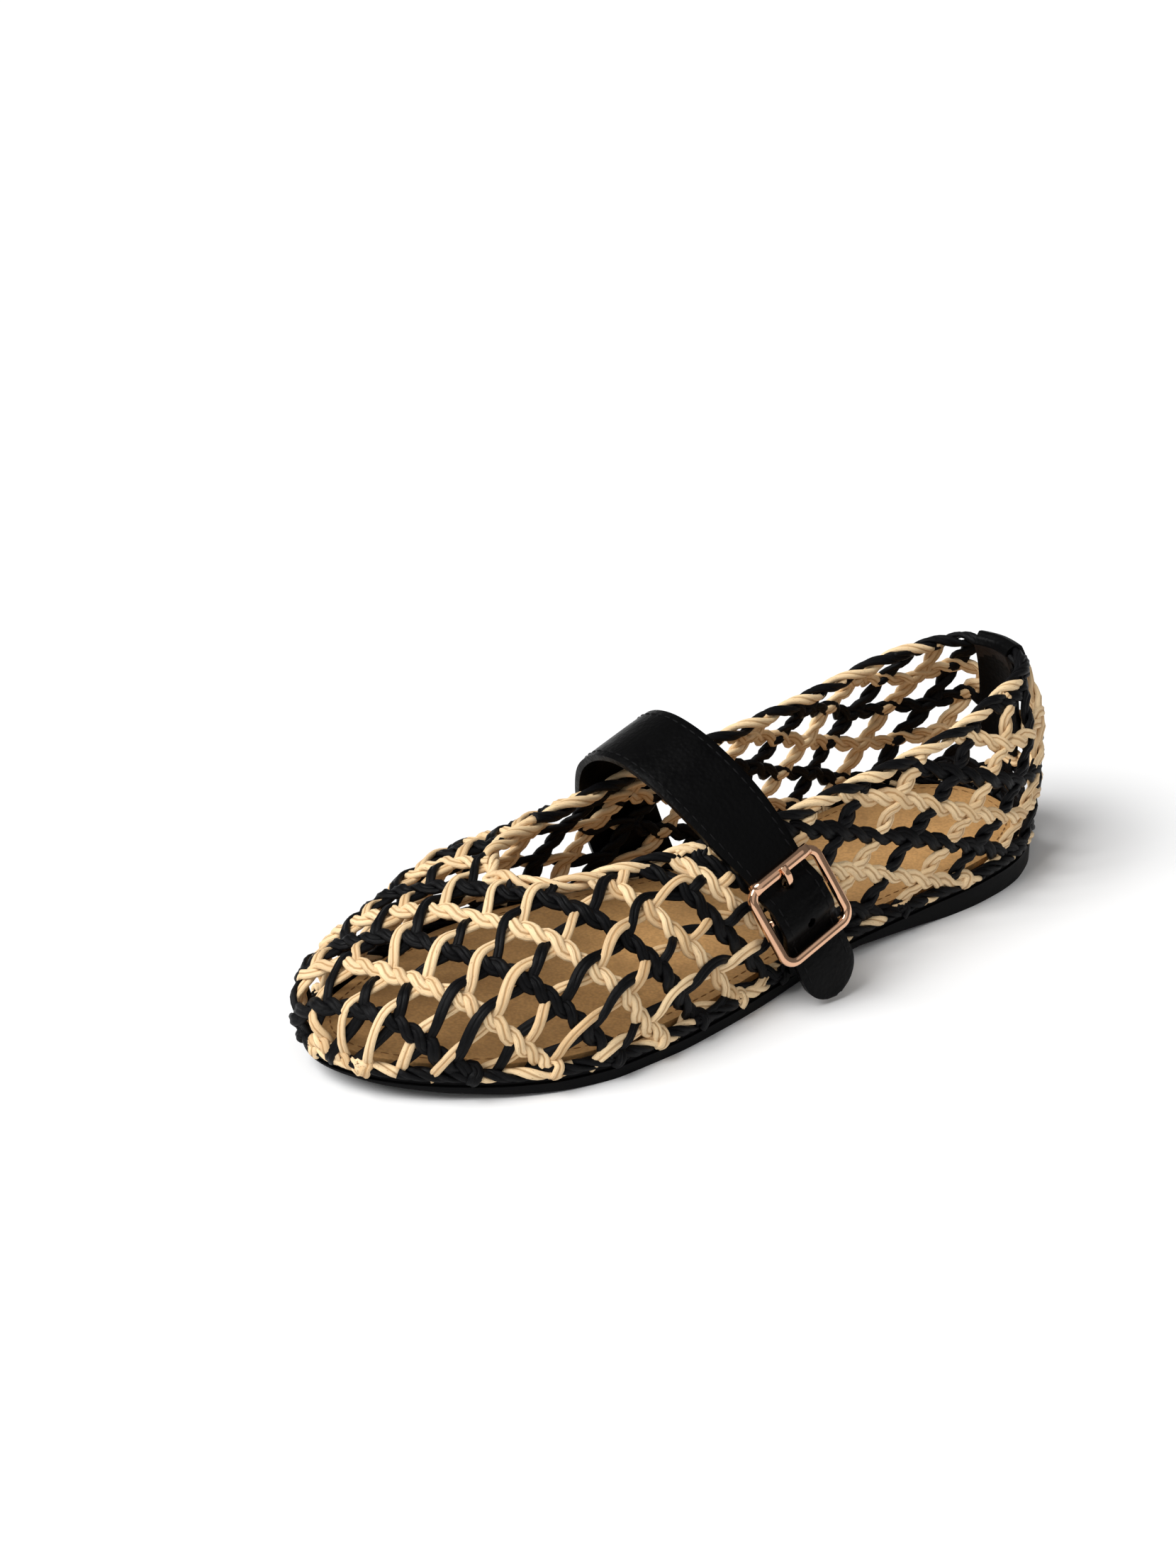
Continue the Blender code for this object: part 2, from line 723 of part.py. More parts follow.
def buckle_point(along, down, out):
    """Place in the buckle's frame: along the bars, down the strap, out from the shoe."""
    t = math.radians(BUCKLE_LEAN)
    dx, dv = math.sin(t), -math.cos(t)
    nx, nv = math.cos(t), math.sin(t)
    return strap_point(BUCKLE_MID[0] + dx * down + nx * out, BUCKLE_MID[1] + dv * down + nv * out, along)


def buckle_flat(down, out):
    """The same place as across and up values of the strap's plane."""
    t = math.radians(BUCKLE_LEAN)
    return (BUCKLE_MID[0] + math.sin(t) * down + math.cos(t) * out,
            BUCKLE_MID[1] - math.cos(t) * down + math.sin(t) * out)


def tube(name, points, radius, closed, mat, collection, sides=2, radii=None):
    """Round rod along points, from a bevelled curve with filled ends."""
    curve = bpy.data.curves.new(name, "CURVE")
    curve.dimensions = "3D"
    curve.bevel_depth = radius * MM
    curve.bevel_resolution = sides
    curve.use_fill_caps = not closed
    spline = curve.splines.new("POLY")
    spline.points.add(len(points) - 1)
    for k, p in enumerate(points):
        spline.points[k].co = (p[0] * MM, p[1] * MM, p[2] * MM, 1.0)
        if radii is not None:
            spline.points[k].radius = radii[k]
    spline.use_cyclic_u = closed
    tmp = bpy.data.objects.new(name + "_path", curve)
    collection.objects.link(tmp)
    bpy.context.view_layer.update()
    mesh = bpy.data.meshes.new_from_object(tmp.evaluated_get(bpy.context.evaluated_depsgraph_get()))
    bpy.data.objects.remove(tmp, do_unlink=True)
    bm = bmesh.new()
    bm.from_mesh(mesh)
    bmesh.ops.remove_doubles(bm, verts=bm.verts, dist=0.00002)
    bmesh.ops.recalc_face_normals(bm, faces=bm.faces)
    bm.to_mesh(mesh)
    bm.free()
    mesh.name = name
    mesh.materials.clear()
    obj = bpy.data.objects.new(name, mesh)
    obj.data.materials.append(mat)
    collection.objects.link(obj)
    return obj


def strap_rows():
    """Strap path: the table, then under the upper bar, over the centre bar and out to the tip."""
    rows = [list(r) for r in STRAP_TABLE]
    half = BUCKLE_TALL / 2.0
    under_bar = -BUCKLE_ROD - FIT_GAP - STRAP_THICK / 2.0
    over_bar = BAR_OUT + BAR_RADIUS + 2.0 * FIT_GAP + CHAPE_THICK + STRAP_THICK / 2.0
    for down, out in ((-half - 0.6, under_bar), (-half + 3.4, under_bar + 0.7), (-4.0, over_bar - 0.3),
                      (0.0, over_bar), (4.0, over_bar - 0.3), (half - 3.4, under_bar + 0.7),
                      (half + 0.4, under_bar)):
        a, u = buckle_flat(down, out)
        rows.append([a, u, STRAP_HALF_BUCKLE, 0.0])
    for step_across, step_down, half_width in STRAP_TAIL:
        rows.append([a + step_across, u - step_down, half_width, 0.0])
    return rows


def punch(strap, collection):
    """Prong hole and spare hole through the strap."""
    for name, down in (("prong_hole", PRONG_HOLE_DOWN), ("spare_hole", SPARE_HOLE_DOWN)):
        ends = [buckle_point(0.0, down, -4.0), buckle_point(0.0, down, 6.0)]
        tool = tube(name, ends, HOLE_RADIUS, False, strap.data.materials[0], collection)
        tool.hide_render = True
        tool.display_type = "WIRE"
        cut = strap.modifiers.new(name, "BOOLEAN")
        cut.operation = "DIFFERENCE"
        cut.solver = "EXACT"
        cut.object = tool


def chape(mat, collection):
    """Short strap that holds the buckle: up from the sole edge and once round the centre bar."""
    r = BAR_RADIUS + FIT_GAP + CHAPE_THICK / 2.0
    turn = []
    for deg in CHAPE_TURN:
        t = math.radians(deg)
        turn.append(buckle_flat(-r * math.cos(t), BAR_OUT + r * math.sin(t)))
    turn.append(buckle_flat(CHAPE_END, BAR_OUT + r))
    rows = list(CHAPE_TABLE)
    rows += [(across, up, CHAPE_HALF, 0.0) for across, up in turn]
    return ribbon("buckle_chape", rows, CHAPE_THICK, mat, collection)


def buckle(mat, collection):
    """Rounded frame, its hidden centre bar and the prong, three separate rods."""
    w, h, c = BUCKLE_WIDE / 2.0, BUCKLE_TALL / 2.0, BUCKLE_CORNER
    pts = []
    for cx, cy, start in ((w - c, h - c, 0.0), (-w + c, h - c, 90.0), (-w + c, -h + c, 180.0),
                          (w - c, -h + c, 270.0)):
        for k in range(4):
            t = math.radians(start + 30.0 * k)
            pts.append(buckle_point(cx + c * math.cos(t), cy + c * math.sin(t), 0.0))
    tube("buckle_frame", pts, BUCKLE_ROD, True, mat, collection)
    reach = w - BUCKLE_ROD - FIT_GAP
    bar = [buckle_point(-reach, 0.0, BAR_OUT), buckle_point(reach, 0.0, BAR_OUT)]
    tube("buckle_bar", bar, BAR_RADIUS, False, mat, collection)
    top = BUCKLE_ROD + FIT_GAP + PRONG_RADIUS
    arch = ((PRONG_DOWN, -0.9, 0.9), (PRONG_DOWN - 0.15, 1.0, 1.0), (PRONG_DOWN - 1.2, 2.4, 1.0),
            (-h + 1.2, top + 0.3, 1.0), (-h, top, 0.95), (-h - 1.5, top - 0.3, 0.7))
    tip = [buckle_point(0.0, down, out) for down, out, _ in arch]
    tube("buckle_prong", tip, PRONG_RADIUS, False, mat, collection, radii=[row[2] for row in arch])


def heel_tab(mat, collection):
    """Leather folded over the topline at the back: a short leg outside, a long one inside."""
    mid_out = CROWN_OUT + TAB_CLEAR + TAB_THICK / 2.0
    mid_in = -CROWN_IN - TAB_CLEAR - TAB_THICK / 2.0
    rows = [(TAB_OUTSIDE * (1.0 - k / 4.0), mid_out, 0.0) for k in range(5)]
    rows += [(0.0, mid_out * 0.72, TAB_RISE), (0.0, 0.0, TAB_TOP), (0.0, mid_in * 0.72, TAB_RISE)]
    rows += [(TAB_INSIDE * k / 5.0, mid_in, 0.0) for k in range(6)]
    cols = TAB_COLUMNS
    cent = []
    for drop, off, lift in rows:
        line = []
        for c in range(cols):
            w = TAB_HALF * (2.0 * c / (cols - 1.0) - 1.0)
            q = min(WAY_END - abs(w), WAY_END - SEAM_END)
            side = 1.0 if w >= 0.0 else -1.0
            g = side * (girth_limits(q, side)[0] + drop)
            n = normal_at(q, g) * np.array([1.0, 1.0, 0.35])
            n = n / np.linalg.norm(n)
            line.append(on_wall(q, g) + n * off + np.array([0.0, 0.0, lift]))
        cent.append(line)
    cent = np.array(cent)
    nr = len(rows)
    verts, faces = [], []
    for r in range(nr):
        ra, rb = max(r - 1, 0), min(r + 1, nr - 1)
        for c in range(cols):
            ca, cb = max(c - 1, 0), min(c + 1, cols - 1)
            n = np.cross(cent[rb, c] - cent[ra, c], cent[r, cb] - cent[r, ca])
            n = n / np.linalg.norm(n)
            verts.append(cent[r, c] + n * TAB_THICK / 2.0)
            verts.append(cent[r, c] - n * TAB_THICK / 2.0)

    def vid(r, c, k):
        return 2 * (r * cols + c) + k
    for r in range(nr - 1):
        for c in range(cols - 1):
            faces.append((vid(r, c, 0), vid(r, c + 1, 0), vid(r + 1, c + 1, 0), vid(r + 1, c, 0)))
            faces.append((vid(r, c, 1), vid(r + 1, c, 1), vid(r + 1, c + 1, 1), vid(r, c + 1, 1)))
        for c in (0, cols - 1):
            faces.append((vid(r, c, 0), vid(r, c, 1), vid(r + 1, c, 1), vid(r + 1, c, 0)))
    for r in (0, nr - 1):
        for c in range(cols - 1):
            faces.append((vid(r, c, 0), vid(r, c + 1, 0), vid(r, c + 1, 1), vid(r, c, 1)))
    return new_mesh("heel_tab", verts, faces, mat, collection)


def main():
    for obj in list(bpy.data.objects):
        bpy.data.objects.remove(obj, do_unlink=True)
    parts = bpy.data.collections.new("strappy_flat")
    bpy.context.scene.collection.children.link(parts)
    cutters = bpy.data.collections.new("cutters")
    bpy.context.scene.collection.children.link(cutters)

    raffia = material("raffia", (0.72, 0.52, 0.30), 0.6)
    rubber = material("sole_black", (0.012, 0.012, 0.013), 0.55)
    board = material("rand_black", (0.015, 0.015, 0.016), 0.6)
    sock = material("insole_tan", (0.28, 0.17, 0.07), 0.55)
    leather = material("strap_black", (0.012, 0.012, 0.013), 0.45)
    gold = material("buckle_gold", (0.83, 0.58, 0.45), 0.2, 1.0)

    def base(s):
        return last("base", s)

    def sole_top(s):
        return base(s) - 2.0 * FIT_GAP - MIDSOLE_THICK

    layered("outsole", (
        (OUTSOLE_CHAMFER, lambda s: under(s)),
        (0.0, lambda s: under(s) + OUTSOLE_CHAMFER),
        (0.0, sole_top),
    ), rubber, parts)
    layered("midsole", (
        (OUTSOLE_PROUD, lambda s: base(s) - FIT_GAP - MIDSOLE_THICK),
        (OUTSOLE_PROUD, lambda s: base(s) - FIT_GAP),
    ), board, parts)
    layered("insole", (
        (INSOLE_MARGIN, lambda s: base(s)),
        (INSOLE_MARGIN, lambda s: base(s) + INSOLE_THICK),
    ), sock, parts)
    upper(raffia, parts)
    strap = ribbon("strap", strap_rows(), STRAP_THICK, leather, parts)
    punch(strap, cutters)
    chape(leather, parts)
    buckle(gold, parts)
    heel_tab(leather, parts)


main()
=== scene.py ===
"""Openwork raffia flat with one leather strap, left shoe: the dressed model.

The file is laid out as an add-on and is run as a script.
The toe points along -Y, the outer (buckle) side faces +X and the sole stands on Z = 0.
Lengths are millimetres until a mesh is made.
A station s runs from the heel end (0) to the toe end (1).
A girth value a runs from the inner feather edge (-1) over the ridge (0) to the outer one (+1).
"""
import math

import bmesh
import bpy
import numpy as np
from mathutils import Matrix, Vector


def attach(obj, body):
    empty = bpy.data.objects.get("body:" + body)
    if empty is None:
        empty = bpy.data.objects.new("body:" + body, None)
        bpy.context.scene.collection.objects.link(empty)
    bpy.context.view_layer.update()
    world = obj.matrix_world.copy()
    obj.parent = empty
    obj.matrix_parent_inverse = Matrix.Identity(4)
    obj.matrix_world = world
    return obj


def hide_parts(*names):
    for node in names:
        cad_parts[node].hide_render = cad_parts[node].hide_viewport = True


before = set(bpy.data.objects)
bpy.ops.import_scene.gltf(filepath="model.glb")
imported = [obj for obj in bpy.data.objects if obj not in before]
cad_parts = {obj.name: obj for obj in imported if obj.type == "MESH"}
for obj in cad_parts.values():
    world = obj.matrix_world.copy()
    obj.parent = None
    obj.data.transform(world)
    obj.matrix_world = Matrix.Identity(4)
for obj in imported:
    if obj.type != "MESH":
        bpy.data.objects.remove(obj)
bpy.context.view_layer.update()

bl_info = {
    "name": "Openwork raffia flat",
    "version": (1, 0, 0),
    "blender": (4, 5, 0),
    "location": "View3D > Sidebar > Shoe",
    "description": "Dresses the packed solids of a strappy flat with raffia, leather and metal",
    "category": "Object",
}

MM = 0.001

# Overall sizes, as in the solids
SOLE_LENGTH = 238.0
HEEL_END_Y = 154.5
FIT_GAP = 0.3

# Fixed directions
UP = np.array([0.0, 0.0, 1.0])
LEVEL = np.array([1.0, 1.0, 0.0])

# Sole stack
MIDSOLE_THICK = 1.5
INSOLE_THICK = 1.8
INSOLE_MARGIN = 4.6
OUTSOLE_CHAMFER = 0.9
OUTSOLE_PROUD = 0.6
SOLE_RIM = 0.35
RAND_RIM = 0.2
INSOLE_RIM = 0.6
SOLE_STEPS = 180
SOLE_ACROSS = 14
INSOLE_SEAM = 2.6
INSOLE_STITCH = (2.3, 0.24)

# Form of the openwork wall
FEATHER_INSET = 1.2
HEEL_FAN_STATION = 0.17
HEEL_FAN_BLEND = 0.12
AXIS_SHARE = 0.3
SECTION_ROUND = 0.85
SECTION_RISE = 0.92
TOE_PUSH = 3.2
TOE_PUSH_START = 0.88
TOE_PUSH_FULL = 0.985
TOE_PUSH_HEIGHT = 19.0
CORE_HEIGHT = 16.0
CORE_STATION = 0.9
THROAT_STATION = 0.792
WAY_COUNT = 361
WAY_GIRTH = 0.6
GIRTH_COUNT = 33

# Net of the openwork: its knots lie where chains (down the wall) cross rows (back along it)
VAMP_KNOT = (65.2, 18.2)
VAMP_DOWN = (5.6, 9.6)
VAMP_BACK = (11.2, -3.4)
BLEND_START = 100.0
BLEND_END = 155.0
CHAIN_INDEX = range(-8, 22)
ROW_INDEX = range(-9, 15)
TOE_END = 0.15
SEAM_GAP = 1.6

# Lay of the strands in the net: a lay holds the places beside and above the run at the knots and above
# it halfway between, the lift of both strands, their dip at the knots and the hop of one over some knots
EDGE_STEPS = 8
CHAIN_LAY = (1.25, 0.0, 0.95, 0.0, 0.0, 0.0)
ROW_LAY = (-1.7, 0.0, 0.55, 0.5, 1.35, 2.2)
REAR_ROW_LAY = (1.35, 0.2, 0.95, 0.0, 0.0, 0.0)
ROW_SIZE = 0.9
HOP_SHARE = 0.5
FACE_ROLL = 0.3
KNOT_STRAY = 0.75
STRAND_WAVER = 0.2
STRAND_UNEVEN = 0.12
STRAND_GROOVE = 0.32
NET_SEED = 11
NET_TABLE = 64
SHORTEST_RUN = 0.35
FEATHER_NEAR = 0.4
TUCK = 1.4
TUCK_IN = 1.2

# Loop of a chain's end over the edge cord: place out and up, rise of its outward face, share of a knot
EDGE_LOOP = ((1.1, 2.3, 0.6, 0.0), (1.7, 0.9, 0.1, 0.15), (0.9, -0.5, -0.4, 0.3))

# Cords of two strands: length of a turn, distance of a strand from the middle, tones of the two
CORD_GAP = 1.3
CORD_UNEVEN = (0.35, 0.37)
CORD_SWELL = (0.08, 0.21)
EDGE_CORD = (17.0, 0.9, (0.3, 0.8))
EDGE_CORD_OUT = 0.6
EDGE_CORD_UP = 0.9
EDGE_CORD_DARK = (0.17, 0.25)
SEAM_CORD = (11.0, 0.8, (0.2, 0.6))
SEAM_COUNT = 40
ROPE_RADIUS = 1.25
ROPE_TONES = (0.35, 0.7)
ROPE_FLAT = 0.72
ROPE_GROOVE = 0.26
ROPE_SIDES = 16
ROPE_NATURAL_BEFORE = 50.0
ROPE_BLACK_BEHIND = 16.0

# Map on a strand: units along it for each millimetre, shift by its tone
MAP_ALONG = 0.1
MAP_SHIFT = 37.0

# Strap and buckle
STRAP_THICK = 1.8
STRAP_HALF_BUCKLE = 8.4
STRAP_SLANT = 20.8
STRAP_FOOT_Y = 45.5
CHAPE_THICK = 1.2
CHAPE_HALF = 6.6
FOOT_LEVEL = 5.3
BUCKLE_WIDE = 22.6
BUCKLE_TALL = 22.4
BUCKLE_ROD = 1.3
BUCKLE_CORNER = 3.4
BAR_RADIUS = 0.95
SLEEVE = 0.35
PRONG_WIDE = 1.9
PRONG_DEEP = 1.2
BUCKLE_MID = (43.2, 30.8)
BUCKLE_LEAN = 20.2
BAR_OUT = -2.6
PRONG_DOWN = -7.0
PRONG_HOLE_DOWN = -7.2
SPARE_HOLE_DOWN = 5.2
HOLE_RADIUS = 1.25
CHAPE_TURN = (-90.0, -55.0, -20.0, 15.0, 50.0, 85.0)
CHAPE_END = 3.0
SLEEVE_SHORT = 1.7
STRAP_ROUND = 8.4
BAND_STEPS = 12

# Meshes of the leather: steps along, steps across, rim, crown
STRAP_MESH = (200, 12, 0.5, 0.25)
CHAPE_MESH = (90, 8, 0.35, 0.1)
TAB_MESH = (78, 16)
TAB_RIM = 0.35

# Strap stitching: inset, share of the step, thickness, sink, first and last place
STITCH_INSET = 1.9
STITCH_SHARE = 0.78
STITCH_THICK = 0.26
STITCH_SINK = 0.12
STITCH_ENDS = (4.0, 7.0)

# Heel tab
TAB_HALF = 7.8
TAB_THICK = 1.1
TAB_OUTSIDE = 19.0
TAB_INSIDE = 34.0
TAB_CLEAR = 0.65
TAB_RISE = 1.5
TAB_TOP = 2.3
WALL_OUT = 1.4
WALL_IN = 1.2

# Net behind the strap, outer and inner side: one knot's place, its row and chain, steps down and back
QUARTER_NETS = (
    ((165.6, 39.5), (4, 7), (12.3, 5.8), (8.6, -7.0)),
    ((149.2, -41.2), (-3, 9), (8.6, 7.0), (12.3, -5.8)),
)

# Fixed colours
RUBBER = (0.003, 0.003, 0.0033)
TAN_THREAD = (0.20, 0.10, 0.035)
BLACK_THREAD = (0.004, 0.004, 0.0043)
# Colour painted into the groove between a strand's two plies, as shade
RAFFIA_GROOVE_SHADE = (0.36, 0.17, 0.045)
RAFFIA_FLECK = (0.33, 0.15, 0.05)

# Camera at the photograph's angle and the light round it
CAMERA_PLACE = (0.4543, -0.3527, 0.3261)
CAMERA_PITCH = 64.93
CAMERA_TURN = 52.21
CAMERA_LENS = 57.19
CAMERA_SENSOR = 36.0
FLOOR_RADIUS = 9.0
WORLD_LIGHT = 0.2
SUNS = (("key", 3.7, 45.0, (-0.2, -0.77, 1.0)), ("fill", 0.5, 75.0, (0.85, -0.3, 0.8)))

# Station table of the last: half widths, feather height, ridge height, swell of the side
LAST_COLUMNS = ("s", "lateral", "medial", "base", "ridge", "swell")
LAST_TABLE = (
    (0.000, 0.0, 0.0, 8.6, 78.0, 5.5),
    (0.015, 14.0, 13.0, 8.6, 76.0, 5.5),
    (0.040, 21.5, 19.5, 8.6, 69.5, 5.5),
    (0.070, 26.3, 23.8, 8.6, 65.0, 5.5),
    (0.100, 29.6, 26.2, 8.5, 63.2, 5.2),
    (0.140, 31.9, 27.4, 8.4, 62.4, 4.5),
    (0.200, 33.2, 27.5, 8.0, 62.6, 3.5),
    (0.280, 33.0, 26.4, 7.2, 62.6, 2.6),
    (0.360, 33.2, 26.0, 6.4, 61.0, 2.2),
    (0.440, 34.9, 28.2, 5.8, 57.5, 2.0),
    (0.520, 38.0, 32.8, 5.3, 51.2, 1.8),
    (0.600, 41.2, 38.0, 5.0, 45.6, 1.6),
    (0.680, 43.2, 41.4, 5.0, 42.8, 1.5),
    (0.740, 43.3, 41.5, 5.0, 41.2, 1.5),
    (0.800, 41.0, 39.0, 5.1, 38.8, 1.7),
    (0.860, 35.3, 34.6, 5.5, 35.0, 2.2),
    (0.900, 29.6, 30.4, 6.0, 31.8, 2.6),
    (0.940, 22.6, 25.2, 6.7, 27.8, 3.2),
    (0.970, 15.4, 19.3, 7.3, 23.5, 3.6),
    (0.990, 7.6, 12.0, 7.8, 18.6, 4.0),
    (1.000, -2.2, 2.2, 8.0, 9.0, 4.2),
)

# Underside of the outsole, as station and height: heel seat, raised waist, flat forefoot, toe spring
GROUND_TABLE = (
    (0.000, 0.0), (0.200, 0.0), (0.225, 0.0), (0.300, 1.2), (0.370, 2.2), (0.450, 1.2),
    (0.535, 0.0), (0.560, 0.0), (0.760, 0.0), (0.800, 0.3), (0.860, 1.2), (0.920, 2.6),
    (0.970, 4.3), (1.000, 5.4),
)

# Topline, as station and height, from the heel to the front of the throat
TOPLINE_TABLE = (
    (0.000, 58.6), (0.050, 56.4), (0.120, 54.6), (0.220, 50.6), (0.300, 48.2), (0.400, 46.0),
    (0.500, 43.8), (0.600, 41.9), (0.700, 40.6), (0.760, 40.2), (0.792, 40.2), (1.000, 40.2),
)

# Strap in its own slanted plane, from the inner sole edge over the foot to the buckle:
# across the foot, up the slant, half width, splay of the band's rear edge
STRAP_TABLE = (
    (-31.4, 5.5, 10.6, 0.24),
    (-32.2, 12.0, 10.6, 0.23),
    (-32.9, 22.0, 10.6, 0.25),
    (-32.2, 33.0, 10.6, 0.24),
    (-29.4, 45.0, 10.6, 0.15),
    (-23.8, 56.0, 10.6, 0.06),
    (-15.0, 63.4, 10.6, 0.0),
    (-5.0, 66.4, 10.6, 0.0),
    (6.0, 65.0, 10.6, 0.0),
    (16.2, 60.2, 10.6, 0.0),
    (24.8, 53.8, 10.4, 0.0),
    (31.4, 47.4, 9.6, 0.0),
)

# Free end of the strap below the buckle: step across, step down, half width
STRAP_TAIL = (
    (1.2, 4.4, 8.4),
    (2.0, 8.8, 8.4),
    (2.5, 12.6, 7.7),
    (2.75, 15.0, 6.2),
    (2.9, 16.6, 3.4),
)

# Short strap under the buckle, from the outer sole edge up: across, up, half width, splay
CHAPE_TABLE = (
    (37.4, 5.5, 6.6, -0.12),
    (38.0, 12.0, 6.6, -0.14),
    (38.3, 18.0, 6.6, -0.12),
    (38.5, 24.0, 6.6, -0.06),
)


# Lines and curves

def unit(v):
    v = np.asarray(v, float)
    return v / (np.linalg.norm(v, axis=-1, keepdims=True) + 1e-12)


def ease(x):
    x = np.clip(x, 0.0, 1.0)
    return x * x * (3.0 - 2.0 * x)


def side_of(g):
    return 1.0 if g >= 0.0 else -1.0


def end_fine(count):
    """Shares from 0 to 1, finer towards both ends."""
    return 0.5 - 0.5 * np.cos(np.linspace(0.0, math.pi, count))


def way_along(points):
    """Length of a line up to each of its points."""
    return np.concatenate([[0.0], np.cumsum(np.linalg.norm(np.diff(points, axis=0), axis=1))])


def outward(ring, normals):
    """Normals of a closed line, all turned if they point to its middle."""
    return -normals if np.sum((ring - ring.mean(0)) * normals) < 0.0 else normals


def slopes(xs, ys):
    """Slopes of a shape keeping cubic through the points."""
    h = np.diff(xs)
    d = np.diff(ys) / h
    m = np.zeros(len(xs))
    m[0], m[-1] = d[0], d[-1]
    for i in range(1, len(xs) - 1):
        if d[i - 1] * d[i] > 0.0:
            w1 = 2.0 * h[i] + h[i - 1]
            w2 = h[i] + 2.0 * h[i - 1]
            m[i] = (w1 + w2) / (w1 / d[i - 1] + w2 / d[i])
    return m


def hermite(xs, ys, m, x):
    """Value at x of the cubic through the points with these slopes, held flat beyond its ends."""
    x = np.clip(np.asarray(x, float), xs[0], xs[-1])
    i = np.clip(np.searchsorted(xs, x) - 1, 0, len(xs) - 2)
    h = xs[i + 1] - xs[i]
    t = (x - xs[i]) / h
    a = (1.0 + 2.0 * t) * (1.0 - t) ** 2 * ys[i] + t * (1.0 - t) ** 2 * h * m[i]
    return a + t * t * (3.0 - 2.0 * t) * ys[i + 1] + t * t * (t - 1.0) * h * m[i + 1]


def smooth_path(points, steps):
    """Points on a smooth curve through the given ones, with a number of steps between each two."""
    points = np.asarray(points, float)
    gap = np.linalg.norm(np.diff(points, axis=0), axis=1)
    t = np.concatenate([[0.0], np.cumsum(np.sqrt(gap + 1e-9))])
    m = np.gradient(points, t, axis=0)
    ends = np.repeat(np.arange(len(points) - 1), steps) + np.tile(np.arange(steps), len(points) - 1) / steps
    at = np.append(np.interp(ends, np.arange(len(t)), t), t[-1])
    return np.stack([hermite(t, points[:, k], m[:, k], at) for k in range(points.shape[1])], -1)


def even_path(points, gap):
    """The same closed line with its points a fixed gap apart."""
    points = np.concatenate([points, points[:1]])
    way = way_along(points[:, :3])
    at = np.linspace(0.0, way[-1], max(int(round(way[-1] / gap)), 3) + 1)[:-1]
    return np.stack([np.interp(at, way, points[:, k]) for k in range(points.shape[1])], -1)


def line_directions(p, closed):
    """Direction of a line at its points, halfway between the runs that meet there."""
    run = unit(np.diff(np.concatenate([p, p[:1]]) if closed else p, axis=0))
    if closed:
        return unit(run + np.roll(run, 1, axis=0))
    return unit(np.concatenate([run[:1], run[1:] + run[:-1], run[-1:]]))


def line_frame(line, normals, closed):
    """Normals of a line squared to it, and the directions beside it."""
    d = line_directions(line, closed)
    n = unit(normals - d * np.sum(normals * d, 1)[:, None])
    return n, np.cross(n, d)


# Form of the last, shared by every piece

def spread(s):
    """Station turned into an angle, which keeps the rounded ends of the outline smooth."""
    return np.arccos(np.clip(1.0 - 2.0 * np.asarray(s, float), -1.0, 1.0))


LAST = {n: np.array([r[k] for r in LAST_TABLE]) for k, n in enumerate(LAST_COLUMNS)}
LAST_ANGLE = spread(LAST["s"])
LAST_SLOPES = {n: slopes(LAST_ANGLE, LAST[n]) for n in LAST_COLUMNS}


def last(name, s):
    return hermite(LAST_ANGLE, LAST[name], LAST_SLOPES[name], spread(s))


def under(s):
    return np.interp(s, *np.array(GROUND_TABLE).T)


def topline(s):
    xs, ys = np.array(TOPLINE_TABLE).T
    return hermite(xs, ys, slopes(xs, ys), s)


def station_y(s):
    return HEEL_END_Y - SOLE_LENGTH * np.asarray(s, float)


def station_at(y):
    return np.clip((HEEL_END_Y - y) / SOLE_LENGTH, 0.0, 1.0)


def plan_normal(s, side):
    """Outward direction of the sole outline, in plan."""
    e = 0.002
    s1, s2 = np.clip(s - e, 0.0, 1.0), np.clip(s + e, 0.0, 1.0)
    grow = {name: last(name, s2) - last(name, s1) for name in ("lateral", "medial")}
    side_x = np.where(side >= 0.0, grow["lateral"], grow["medial"])
    run = SOLE_LENGTH * (s2 - s1)
    size = np.hypot(side_x, run)
    return np.where(side >= 0.0, 1.0, -1.0) * run / size, side_x / size


def wall(s, a):
    """Point on the middle of the upper's wall."""
    s, a = np.broadcast_arrays(np.asarray(s, float), np.asarray(a, float))
    sk = np.maximum(s, HEEL_FAN_STATION)
    axis_x = AXIS_SHARE * (last("lateral", sk) - last("medial", sk))
    edge_x = np.where(a >= 0.0, last("lateral", s), -last("medial", s))
    vx = edge_x - axis_x
    vy = station_y(s) - station_y(sk)
    reach = np.hypot(vx, vy) + 1e-9
    turn = (1.0 - np.abs(a)) * math.pi / 2.0
    c = np.cos(turn) ** SECTION_ROUND
    nx, ny = plan_normal(s, a)
    blend = np.clip((s - HEEL_FAN_STATION) / HEEL_FAN_BLEND, 0.0, 1.0)
    nx = (1.0 - blend) * vx / reach + blend * nx
    ny = (1.0 - blend) * vy / reach + blend * ny
    swell = last("swell", s) * np.sin(2.0 * turn)
    base = last("base", s)
    z = base + (last("ridge", s) - base) * np.sin(turn) ** SECTION_RISE
    toe = ease((s - TOE_PUSH_START) / (TOE_PUSH_FULL - TOE_PUSH_START))
    push = TOE_PUSH * toe * np.sin(math.pi * np.clip((z - base) / TOE_PUSH_HEIGHT, 0.0, 1.0))
    x = axis_x + vx * c + nx * (swell - FEATHER_INSET * c)
    y = station_y(sk) + vy * c + ny * (swell * (1.0 - toe) - FEATHER_INSET * c) - push
    return np.stack([x, y, z], -1)


def girth_table(s, side):
    """Girth values from ridge to feather edge, with the way from the ridge and the height of each."""
    a = np.linspace(0.0, 1.0, GIRTH_COUNT)
    p = wall(np.full_like(a, s), side * np.maximum(a, 1e-6))
    return a, way_along(p), p[:, 2]


